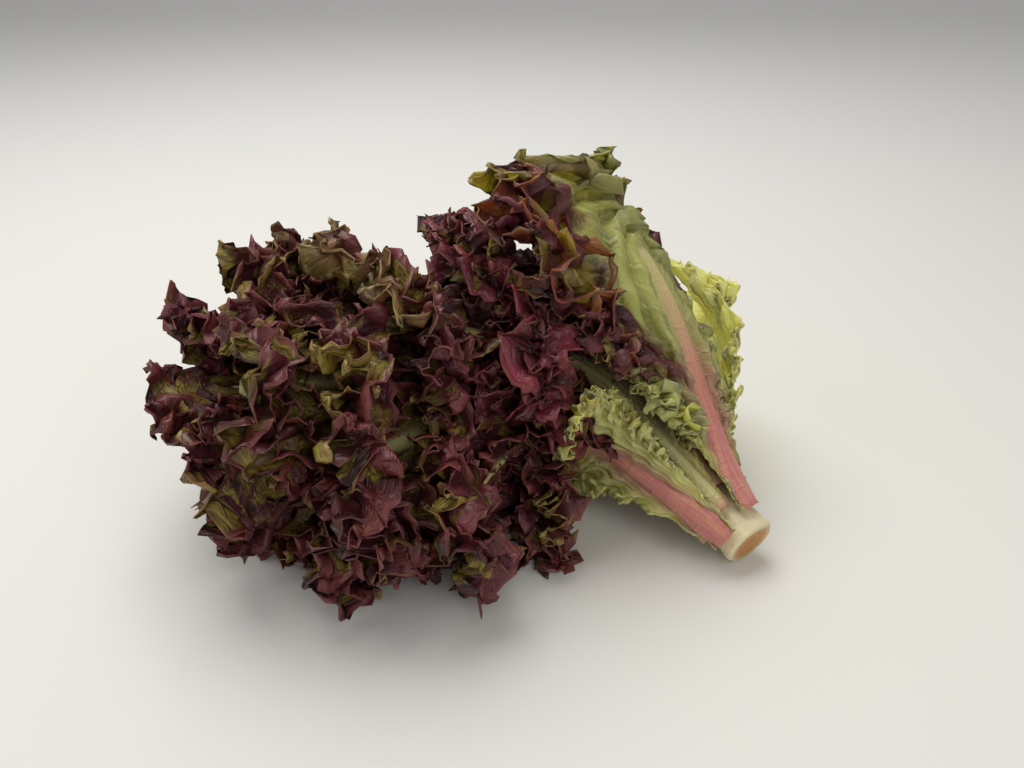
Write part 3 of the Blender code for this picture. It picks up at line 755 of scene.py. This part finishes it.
def leaf_material(name, colours, pink_share, glow):
    """The leaf's colours from its own values, with veins, mottling, painted shade in the hollows and creases, a painted
    highlight along the margins and a wet-looking soft gloss.
    """
    made = Shader(name)
    uv = made.node("ShaderNodeUVMap", uv_map="blade").outputs[0]
    red, pale, rim = made.attribute("red"), made.attribute("pale"), made.attribute("rim")
    back, base = made.attribute("back"), made.attribute("base")
    blotch = made.noise(uv, 1.1, 3.0)
    fine = made.noise(uv, 7.0, 3.0)
    wobble = made.math("MULTIPLY_ADD", blotch, 0.16, made.math("MULTIPLY_ADD", fine, 0.05, made.attribute("lateral")))
    lateral = made.math("PINGPONG", wobble, 0.5)
    lateral = made.ramp(lateral, 0.01, 0.085, 1.0, 0.0)
    lateral = made.math("MULTIPLY", lateral, made.ramp(rim, 0.0, 0.9, 1.0, 0.2))
    warp = made.node("ShaderNodeVectorMath", operation="MULTIPLY_ADD")
    made.put(warp.inputs[0], made.node("ShaderNodeTexNoise", {"Vector": uv, "Scale": 1.6}).outputs["Color"])
    made.put(warp.inputs[1], (0.35, 0.35, 0.0))
    made.put(warp.inputs[2], uv)
    cells = made.node("ShaderNodeTexVoronoi", {"Vector": warp.outputs[0], "Scale": 1.9}, feature="DISTANCE_TO_EDGE")
    net = made.ramp(cells.outputs["Distance"], 0.0, 0.10, 1.0, 0.0)
    small = made.node("ShaderNodeTexVoronoi", {"Vector": warp.outputs[0], "Scale": 5.2}, feature="DISTANCE_TO_EDGE")
    mesh_veins = made.ramp(small.outputs["Distance"], 0.0, 0.12, 1.0, 0.0)
    veins = made.math("MAXIMUM", lateral, made.math("MULTIPLY", net, 0.6))
    veins = made.math("MAXIMUM", veins, made.math("MULTIPLY", mesh_veins, 0.28))

    patchy = made.math("MULTIPLY_ADD", made.math("SUBTRACT", blotch, 0.5), 1.1, red)
    patchy = made.math("MULTIPLY_ADD", made.math("SUBTRACT", fine, 0.5), 0.35, patchy)
    stain = made.ramp(patchy, 0.12, 0.8)
    stain = made.math("MULTIPLY", stain, made.ramp(red, 0.0, 0.2))
    # The outer leaves take the painted-bright yellow-green, which paints the light through them
    green = made.mix(made.attribute("fresh"), colours.green[:], colours.light_green_painted_bright[:])
    fresh = made.mix(made.ramp(fine, 0.25, 0.8, 0.0, 0.35), green, (0.74, 0.72, 0.62), "MULTIPLY")
    fresh = made.mix(made.math("MULTIPLY", made.ramp(base, 0.35, 0.95), 0.35), fresh, colours.light_green_painted_bright[:])
    fresh = made.mix(made.attribute("tan"), fresh, colours.tan[:])
    crest = made.attribute("crest")
    # Painted shade: the green darkens to a deep green where the crest value is low, in the hollows and crease valleys
    fresh = made.mix(made.ramp(crest, 0.02, 0.47, 0.85, 0.0), fresh, (0.035, 0.05, 0.007))
    redness = made.mix(made.ramp(blotch, 0.35, 0.7), colours.red[:], colours.brown[:])
    rosy = made.math("MULTIPLY", made.attribute("rosy"), made.ramp(made.noise(uv, 0.8, 2.0), 0.3, 0.6))
    redness = made.mix(rosy, redness, (0.24, 0.03, 0.055))
    # Painted shade: the red darkens almost to black where the crest value is low, in the hollows between the frills
    redness = made.mix(made.ramp(crest, 0.3, 0.78, 0.95, 0.0), redness, (0.008, 0.002, 0.003))
    olive = made.mix(made.ramp(fine, 0.35, 0.7), (0.13, 0.085, 0.014), (0.42, 0.35, 0.05))
    patches = made.math("MULTIPLY_ADD", made.math("SUBTRACT", 0.55, crest), 0.30, made.noise(uv, 0.62, 2.0))
    patches = made.math("MULTIPLY_ADD", made.attribute("rosy"), -0.14, patches)
    redness = made.mix(made.ramp(patches, 0.50, 0.61, 0.0, 0.9), redness, olive)
    blade = made.mix(stain, fresh, redness)
    vein_tone = made.mix(stain, made.mix(0.5, green, (0.74, 0.74, 0.36)), (0.16, 0.035, 0.035))
    blade = made.mix(made.math("MULTIPLY", veins, 0.5), blade, vein_tone)
    silver = made.mix(0.12, blade, made.mix(stain, (0.40, 0.42, 0.22), (0.20, 0.05, 0.065)))
    blade = made.mix(back, blade, silver)
    pinkness = made.math("MULTIPLY", made.attribute("pink"), pink_share, clamp=True)
    across = made.node("ShaderNodeMapping", {"Vector": uv, "Scale": (0.25, 6.0, 1.0)}).outputs[0]
    stripes = made.noise(across, 1.0, 3.0)
    rose = made.mix(made.ramp(stripes, 0.4, 0.65, 0.0, 0.75), colours.pink[:], (0.58, 0.17, 0.22))
    rose = made.mix(made.ramp(stripes, 0.42, 0.2, 0.0, 0.6), rose, colours.pale[:])
    flesh = made.mix(pinkness, colours.pale[:], rose)
    blade = made.mix(pale, blade, flesh)
    # Painted highlight: the lighter edge colour along the margins and the edges of the folds
    edge = made.math("MULTIPLY", rim, made.ramp(fine, 0.35, 0.7, 0.05, 0.6))
    blade = made.mix(edge, blade, made.mix(red, made.mix(0.4, green, (0.55, 0.50, 0.16)), colours.rim[:]))
    made.put(made.main.inputs["Base Color"], blade)

    made.put(made.main.inputs["Roughness"], made.math("MULTIPLY_ADD", back, 0.12, made.ramp(fine, 0.2, 0.9, 0.22, 0.36)))
    made.put(made.main.inputs["Specular IOR Level"], 0.42)
    made.put(made.main.inputs["Subsurface Weight"], glow)
    made.put(made.main.inputs["Subsurface Radius"], (1.0, 0.9, 0.3))
    made.put(made.main.inputs["Subsurface Scale"], 0.006 * glow)
    outside = made.math("MULTIPLY_ADD", back, 2.0, -1.0)
    height = made.math("MULTIPLY", veins, outside)
    height = made.math("MULTIPLY_ADD", made.noise(uv, 3.4, 2.0, 0.6), 0.8, height)
    height = made.math("MULTIPLY_ADD", made.noise(uv, 22.0, 2.0), 0.10, height)
    bump = made.node("ShaderNodeBump", {"Height": height, "Strength": 0.55, "Distance": 0.0009})
    made.put(made.main.inputs["Normal"], bump.outputs[0])
    return made.material


def stem_material(colours):
    """Cream stem with fine length-wise fibres, and a browned, ringed cut face."""
    made = Shader("stem")
    uv = made.node("ShaderNodeUVMap", uv_map="round").outputs[0]
    cut = made.attribute("cut")
    ring = made.attribute("ring")
    coords = made.node("ShaderNodeTexCoord").outputs["Object"]
    blotch = made.noise(coords, 260.0, 4.0)
    fine = made.noise(coords, 1400.0, 3.0)
    stretched = made.node("ShaderNodeMapping", {"Vector": uv, "Scale": (60.0, 5.0, 1.0)}).outputs[0]
    fibre = made.noise(stretched, 1.0, 3.0)
    skin = made.mix(made.ramp(fibre, 0.3, 0.8, 0.0, 0.5), colours.stem[:], (0.70, 0.60, 0.36))
    skin = made.mix(made.ramp(blotch, 0.55, 0.8, 0.0, 0.5), skin, (0.66, 0.42, 0.28))
    rings = made.math("PINGPONG", made.math("MULTIPLY_ADD", blotch, 0.10, ring), 0.16)
    face = made.mix(made.ramp(rings, 0.0, 0.16, 0.0, 0.5), colours.cut[:], (0.62, 0.36, 0.17))
    face = made.mix(made.ramp(fine, 0.4, 0.8, 0.0, 0.6), face, (0.30, 0.12, 0.05))
    face = made.mix(made.ramp(ring, 0.72, 0.95, 0.0, 0.8), face, (0.66, 0.50, 0.28))
    made.put(made.main.inputs["Base Color"], made.mix(cut, skin, face))
    made.put(made.main.inputs["Roughness"], made.ramp(blotch, 0.2, 0.8, 0.42, 0.62))
    made.put(made.main.inputs["Subsurface Weight"], 0.25)
    made.put(made.main.inputs["Subsurface Radius"], (1.0, 0.7, 0.4))
    made.put(made.main.inputs["Subsurface Scale"], 0.003)
    height = made.math("MULTIPLY_ADD", fibre, 0.7, made.math("MULTIPLY", fine, 0.4))
    bump = made.node("ShaderNodeBump", {"Height": height, "Strength": 0.6, "Distance": 0.0008})
    made.put(made.main.inputs["Normal"], bump.outputs[0])
    return made.material


def deselect():
    """Leaves nothing selected, so that the next operator acts on its own piece alone."""
    if bpy.context.object and bpy.context.object.mode != "OBJECT":
        bpy.ops.object.mode_set(mode="OBJECT")
    bpy.ops.object.select_all(action="DESELECT")


def flat_blade(rows, columns, splits):
    """A flat grid over a leaf's rows and columns, its rows split again towards the margin."""
    name = f"flat_blade_{rows}_{columns}"
    if name in bpy.data.meshes:
        return bpy.data.meshes[name]
    deselect()
    bpy.ops.mesh.primitive_grid_add(x_subdivisions=rows, y_subdivisions=columns, size=2.0, location=(0.0, 0.0, 0.0))
    obj = bpy.context.object
    obj.data.name = name
    bpy.ops.object.mode_set(mode="EDIT")
    bpy.ops.mesh.select_mode(type="EDGE")
    for first in splits:
        low = 2.0 * first / columns - 1.0 - 0.2 / columns
        bpy.ops.mesh.select_all(action="DESELECT")
        work = bmesh.from_edit_mesh(obj.data)
        for edge in work.edges:
            start, end = (v.co for v in edge.verts)
            edge.select_set(min(start.y, end.y) > low and abs(start.y - end.y) < 0.1 / columns)
        bmesh.update_edit_mesh(obj.data)
        bpy.ops.mesh.subdivide(number_cuts=1, ngon=True)
    bpy.ops.object.mode_set(mode="OBJECT")
    mesh = obj.data
    mesh.use_fake_user = True
    bpy.data.objects.remove(obj)
    return mesh


def values_at(mesh):
    """Table rows and columns that the vertices of a flat blade stand on."""
    flat = np.empty(len(mesh.vertices) * 3)
    mesh.vertices.foreach_get("co", flat)
    flat = flat.reshape(-1, 3)
    return (flat[:, 0] + 1.0) / 2.0, (flat[:, 1] + 1.0) / 2.0


def add_uv(mesh, leaf, row, column):
    """A map in centimetres over the blade: round the margin, and from midrib to margin."""
    corner = np.empty(len(mesh.loops), np.int32)
    mesh.loops.foreach_get("vertex_index", corner)
    shares = np.interp(column * (len(leaf.shares) - 1), np.arange(len(leaf.shares)), leaf.shares)
    spread = np.stack([(row - 0.5) * 40.0 + 3.7 * leaf.number, shares * leaf.half_width / 10.0], axis=-1)
    layer = mesh.uv_layers[0] if mesh.uv_layers else mesh.uv_layers.new()
    layer.name = "blade"
    layer.data.foreach_set("uv", spread[corner].astype(np.float32).ravel())


def fill_mesh(mesh, points, values, rows, columns):
    """Puts a shaped table on the vertices of a flat grid, with its values as attributes."""
    placed = (points[rows, columns] + np.array(HEAD_SHIFT)) * MM
    mesh.vertices.foreach_set("co", placed.astype(np.float32).ravel())
    for key, value in values.items():
        layer = mesh.attributes.new(key, "FLOAT", "POINT")
        layer.data.foreach_set("value", value[rows, columns].astype(np.float32))


def build_fold(leaf, looks, fold):
    """One frilled fold from a long flat grid."""
    points, values, spread = shape_fold(leaf, looks, *fold)
    long = len(points) - 1
    deselect()
    bpy.ops.mesh.primitive_grid_add(x_subdivisions=long, y_subdivisions=FOLD_COLUMNS, size=2.0, location=(0.0, 0.0, 0.0))
    obj = bpy.context.object
    mesh = obj.data
    row, column = values_at(mesh)
    rows, columns = np.rint(row * long).astype(int), np.rint(column * FOLD_COLUMNS).astype(int)
    fill_mesh(mesh, points, values, rows, columns)
    corner = np.empty(len(mesh.loops), np.int32)
    mesh.loops.foreach_get("vertex_index", corner)
    layer = mesh.uv_layers[0] if mesh.uv_layers else mesh.uv_layers.new()
    layer.name = "blade"
    layer.data.foreach_set("uv", spread[rows, columns][corner].astype(np.float32).ravel())
    return obj


def folds_of(leaf):
    """The frilled folds that stand on a leaf."""
    if leaf.number in FOLDS:
        return FOLDS[leaf.number]
    if leaf.number <= OUTER_UNTIL:
        return FOLDS_OF_THE_OUTER
    return FOLDS_OF_THE_INNER if leaf.number <= INNER_UNTIL else FOLDS_OF_THE_INNERMOST


def build_leaf(leaf, looks, material):
    """One leaf from a flat grid: shaped, given its folds, closed along the midrib, thickened and smoothed."""
    name = f"leaf_{leaf.number + 1:02d}_frilled"
    folds = [build_fold(leaf, looks, fold) for fold in folds_of(leaf)]
    last = len(leaf.shares) - 1
    mesh = flat_blade(leaf.rows, last, leaf.splits).copy()
    mesh.name = name
    row, column = values_at(mesh)
    add_uv(mesh, leaf, row, column)
    points, values = shape_leaf(leaf, looks)
    fill_mesh(mesh, points, values, np.rint(row * 8 * leaf.rows).astype(int), np.rint(column * last).astype(int))
    obj = bpy.data.objects.new(name, mesh)
    bpy.context.scene.collection.objects.link(obj)
    deselect()
    for fold in folds:
        fold.select_set(True)
    obj.select_set(True)
    bpy.context.view_layer.objects.active = obj
    if folds:
        bpy.ops.object.join()
    mesh = obj.data
    thick = np.empty(len(mesh.vertices), np.float32)
    mesh.attributes["thick"].data.foreach_get("value", thick)
    weights = obj.vertex_groups.new(name="thickness")
    share = np.round(thick / thick.max(), 2)
    for step in np.unique(share):
        members = np.nonzero(share == step)[0]
        weights.add([int(i) for i in members], float(step), "REPLACE")
    mesh.attributes.remove(mesh.attributes["thick"])
    bpy.ops.object.mode_set(mode="EDIT")
    bpy.ops.mesh.select_all(action="SELECT")
    bpy.ops.mesh.remove_doubles(threshold=WELD_DISTANCE)
    bpy.ops.mesh.normals_make_consistent(inside=False)
    bpy.ops.object.mode_set(mode="OBJECT")
    thicken(obj, float(thick.max()) * MM)
    mark_back(obj)
    obj.data.materials.clear()
    obj.data.materials.append(material)
    bpy.ops.object.shade_smooth()
    return obj


def thicken(obj, thickness):
    """Gives a blade its two faces, thickest along the midrib."""
    solid = obj.modifiers.new("blade", "SOLIDIFY")
    solid.thickness = thickness
    solid.offset = 0.0
    solid.vertex_group = "thickness"
    bpy.ops.object.modifier_apply(modifier="blade")


def mark_back(obj):
    """Marks the face of the blade that turned away from the head while it grew."""
    mesh = obj.data
    count = len(mesh.vertices)
    half = count // 2
    points = np.empty(count * 3, np.float32)
    mesh.vertices.foreach_get("co", points)
    points = points.reshape(-1, 3) / MM - np.array(HEAD_SHIFT)
    first = np.arange(0, half, 97)
    gap = np.linalg.norm(points[first] - nearest_axis(points[first]), axis=1)
    other = np.linalg.norm(points[first + half] - nearest_axis(points[first + half]), axis=1)
    outer_first = np.sum(gap > other) > len(first) / 2
    back = np.zeros(count, np.float32)
    back[:half] = 1.0 if outer_first else 0.0
    back[half:] = 0.0 if outer_first else 1.0
    layer = mesh.attributes.new("back", "FLOAT", "POINT")
    layer.data.foreach_set("value", back)


def nearest_axis(points):
    """The nearest point of the head's axis to each point."""
    return AXIS[1][np.linalg.norm(points[:, None, :] - AXIS[1][None], axis=-1).argmin(axis=1)]


def build_stem(colours):
    """The stem from a cylinder: cut into rings, tapered, its cut face inset and hollowed and its sides ribbed."""
    deselect()
    bpy.ops.mesh.primitive_cylinder_add(
        vertices=72, radius=STEM_RADIUS * MM, depth=STEM_LENGTH * MM, end_fill_type="NGON",
        location=(0.0, 0.0, 0.0))
    obj = bpy.context.object
    obj.name = obj.data.name = "stem_turned"
    bpy.ops.object.mode_set(mode="EDIT")
    bpy.ops.mesh.select_mode(type="FACE")
    work = bmesh.from_edit_mesh(obj.data)
    for face in work.faces:
        face.select_set(face.normal.z < -0.9)
    bmesh.update_edit_mesh(obj.data)
    for _ in range(11):
        bpy.ops.mesh.inset(thickness=STEM_RADIUS * MM / 12.5)
    bpy.ops.mesh.select_mode(type="EDGE")
    bpy.ops.mesh.select_all(action="DESELECT")
    work = bmesh.from_edit_mesh(obj.data)
    for edge in work.edges:
        start, end = (v.co for v in edge.verts)
        edge.select_set(abs(start.z - end.z) > 0.9 * STEM_LENGTH * MM)
    bmesh.update_edit_mesh(obj.data)
    bpy.ops.mesh.subdivide(number_cuts=59)
    bpy.ops.object.mode_set(mode="OBJECT")
    mesh = obj.data
    points = np.empty(len(mesh.vertices) * 3)
    mesh.vertices.foreach_get("co", points)
    points = points.reshape(-1, 3) / MM
    height = points[:, 2] + STEM_LENGTH / 2
    spread = np.hypot(points[:, 0], points[:, 1])
    angle = np.arctan2(points[:, 1], points[:, 0])
    on_face = height < 0.001
    on_side = spread > STEM_RADIUS * 0.999
    radius = stem_radius(height) * spread / STEM_RADIUS
    ribbing = 0.22 * np.sin(9 * angle + 0.3 * height) + 0.16 * np.sin(17 * angle - 0.2 * height + 1.0)
    ribbing = ribbing + 0.3 * np.sin(3 * angle + 0.4) + 0.12 * np.sin(0.9 * height + 2.0 * angle)
    edge = 1.0 - 0.10 * np.exp(-height / 1.2)
    radius = radius * edge + ribbing * spread / STEM_RADIUS - 0.3
    hollow = 0.8 * (1.0 - (spread / STEM_RADIUS) ** 2) + 0.16 * np.sin(1.9 * spread + 1.4 * np.sin(2 * angle))
    turn = Vector(STEM_DIRECTION).to_track_quat("Z", "Y").to_matrix()
    facing = turn.transposed() @ Vector((0.35, -1.0, 0.25)).normalized()
    slant = CUT_SLANT * np.maximum(1.0 + (points[:, 0] * facing.x + points[:, 1] * facing.y) / STEM_RADIUS, 0.0) / 2.0
    hollow = hollow + 0.12 * np.sin(3 * angle + 0.5 * spread)
    height = np.where(on_face, 0.15 + hollow, height)
    height = height + slant * np.clip(1.0 - height / 12.0, 0.0, 1.0)
    shaped = np.stack([radius * np.cos(angle), radius * np.sin(angle), height], axis=-1)
    mesh.vertices.foreach_set("co", (shaped * MM).astype(np.float32).ravel())
    layer = mesh.attributes.new("cut", "FLOAT", "POINT")
    layer.data.foreach_set("value", on_face.astype(np.float32) * (1.0 - 0.5 * on_side))
    layer = mesh.attributes.new("ring", "FLOAT", "POINT")
    layer.data.foreach_set("value", (spread / STEM_RADIUS).astype(np.float32))
    uv = mesh.uv_layers[0] if mesh.uv_layers else mesh.uv_layers.new()
    uv.name = "round"
    corner = np.empty(len(mesh.loops), np.int32)
    mesh.loops.foreach_get("vertex_index", corner)
    spread_uv = np.stack([np.cos(angle), height / 12.0], axis=-1)[corner]
    uv.data.foreach_set("uv", spread_uv.astype(np.float32).ravel())
    turn = turn.to_4x4()
    shift = Vector(HEAD_SHIFT) + Vector((0.0, 0.0, STEM_LIFT))
    mesh.transform(Matrix.Translation(shift * MM) @ turn)
    obj.data.materials.append(stem_material(colours))
    bpy.ops.object.shade_smooth_by_angle(angle=math.radians(50.0))
    return obj


class LETTUCE_OT_stem(bpy.types.Operator):
    """Builds the short cut stem."""

    bl_idname = "lettuce.stem"
    bl_label = "Stem"

    def execute(self, context):
        obj = build_stem(context.scene.lettuce_colours)
        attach(obj, "root")
        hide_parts("stem")
        return {"FINISHED"}


def add_leaves(context, numbers, slot, pink_share, glow):
    """Builds leaves of one finish and puts each in the place of its solid."""
    material = leaf_material(slot, context.scene.lettuce_colours, pink_share, glow)
    for number in numbers:
        obj = build_leaf(Leaf(number), context.scene.lettuce_sizes, material)
        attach(obj, "root")
        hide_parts(f"leaf_{number + 1:02d}")


class LETTUCE_OT_outer_leaves(bpy.types.Operator):
    """Builds the outer leaves that show their yellow-green backs and pink midribs."""

    bl_idname = "lettuce.outer_leaves"
    bl_label = "Outer Leaves"

    def execute(self, context):
        add_leaves(context, GREEN_LEAVES, "leaf_green", 1.0, 0.6)
        return {"FINISHED"}


class LETTUCE_OT_frilled_leaves(bpy.types.Operator):
    """Builds the leaves whose dark red frilled margins make up the head."""

    bl_idname = "lettuce.frilled_leaves"
    bl_label = "Frilled Leaves"

    def execute(self, context):
        numbers = [number for number in range(LEAF_COUNT) if number not in GREEN_LEAVES]
        add_leaves(context, numbers, "leaf_red", 0.6, 0.0)
        return {"FINISHED"}


def floor_material(colour):
    """A plain pale surface with the faintest unevenness, painted lighter and more neutral towards the back as painted
    light on the backdrop.
    """
    made = Shader("floor")
    coords = made.node("ShaderNodeTexCoord").outputs["Object"]
    near = made.mix(made.noise(coords, 3.0, 2.0), colour, tuple(0.97 * c for c in colour))
    # Painted light: the floor's colour grows lighter and more neutral towards the back, where it rises into the
    # backdrop
    depth = made.node("ShaderNodeSeparateXYZ", {"Vector": coords}).outputs["Y"]
    far_painted_light = tuple(1.10 * c for c in (colour[0], colour[0], colour[0]))
    made.put(made.main.inputs["Base Color"], made.mix(made.ramp(depth, 0.1, 1.1), near, far_painted_light))
    made.put(made.main.inputs["Roughness"], 0.75)
    made.put(made.main.inputs["Specular IOR Level"], 0.2)
    return made.material


def build_floor(colour):
    """A floor that curves up into a backdrop."""
    deselect()
    bpy.ops.mesh.primitive_grid_add(x_subdivisions=2, y_subdivisions=60, size=1.0, location=(0.0, 0.0, 0.0))
    obj = bpy.context.object
    obj.name = obj.data.name = "floor"
    for vertex in obj.data.vertices:
        distance = vertex.co.y * 6.0 + 0.6
        rise = max(distance - 1.6, 0.0)
        vertex.co = (vertex.co.x * 7.0, distance, 0.55 * rise * rise)
    obj.data.materials.append(floor_material(colour))
    bpy.ops.object.shade_smooth()
    return obj


def add_area(name, place_at, target, size, power, colour):
    """A soft square light that looks at a point."""
    light = bpy.data.lights.new(name, "AREA")
    light.size = size
    light.energy = power
    light.color = colour
    obj = bpy.data.objects.new(name, light)
    bpy.context.scene.collection.objects.link(obj)
    obj.location = place_at
    obj.rotation_euler = (Vector(target) - Vector(place_at)).to_track_quat("-Z", "Y").to_euler()
    return obj


class LETTUCE_OT_stage(bpy.types.Operator):
    """Builds the pale floor, the soft light and the camera."""

    bl_idname = "lettuce.stage"
    bl_label = "Stage"

    def execute(self, context):
        stage = context.scene.lettuce_stage
        build_floor(stage.floor[:])
        context.scene.view_settings.view_transform = "Standard"
        world = bpy.data.worlds.new("studio")
        context.scene.world = world
        world.use_nodes = True
        world.node_tree.nodes["Background"].inputs[0].default_value = (1.0, 0.985, 0.955, 1.0)
        world.node_tree.nodes["Background"].inputs[1].default_value = 0.29
        target = (-0.02, 0.0, 0.05)
        add_area("above", (-0.2, 0.30, 1.1), target, 0.9, stage.key_power, (1.0, 0.985, 0.95))
        add_area("left", (-1.0, -0.35, 0.7), target, 0.8, 0.22 * stage.key_power, (0.95, 0.97, 1.0))
        add_area("front", (0.5, -1.0, 0.9), target, 0.9, 0.42 * stage.key_power, (1.0, 1.0, 1.0))
        camera = bpy.data.cameras.new("camera")
        camera.lens = stage.lens
        camera.sensor_width = 36.0
        obj = bpy.data.objects.new("camera", camera)
        context.scene.collection.objects.link(obj)
        obj.location = (0.01795, -0.35645, 0.2700)
        obj.rotation_euler = (math.radians(60.0), 0.0, 0.0)
        context.scene.camera = obj
        return {"FINISHED"}


class LETTUCE_PT_panel(bpy.types.Panel):
    """Lists the steps and what can be changed."""

    bl_idname = "LETTUCE_PT_panel"
    bl_label = "Red Leaf Lettuce"
    bl_space_type = "VIEW_3D"
    bl_region_type = "UI"
    bl_category = "Lettuce"

    def draw(self, context):
        layout = self.layout
        for group in (context.scene.lettuce_sizes, context.scene.lettuce_colours, context.scene.lettuce_stage):
            box = layout.box()
            for name in group.__annotations__:
                box.prop(group, name)
        for step in STEPS:
            layout.operator(step.bl_idname)


STEPS = (LETTUCE_OT_stem, LETTUCE_OT_outer_leaves, LETTUCE_OT_frilled_leaves, LETTUCE_OT_stage)
CLASSES = (LettuceColours, LettuceSizes, LettuceStage, *STEPS, LETTUCE_PT_panel)


def register():
    for made in CLASSES:
        bpy.utils.register_class(made)
    bpy.types.Scene.lettuce_colours = bpy.props.PointerProperty(type=LettuceColours)
    bpy.types.Scene.lettuce_sizes = bpy.props.PointerProperty(type=LettuceSizes)
    bpy.types.Scene.lettuce_stage = bpy.props.PointerProperty(type=LettuceStage)


def unregister():
    del bpy.types.Scene.lettuce_stage
    del bpy.types.Scene.lettuce_sizes
    del bpy.types.Scene.lettuce_colours
    for made in reversed(CLASSES):
        bpy.utils.unregister_class(made)


def main():
    register()
    bpy.ops.lettuce.stem()
    bpy.ops.lettuce.outer_leaves()
    bpy.ops.lettuce.frilled_leaves()
    bpy.ops.lettuce.stage()


if __name__ == "__main__":
    main()
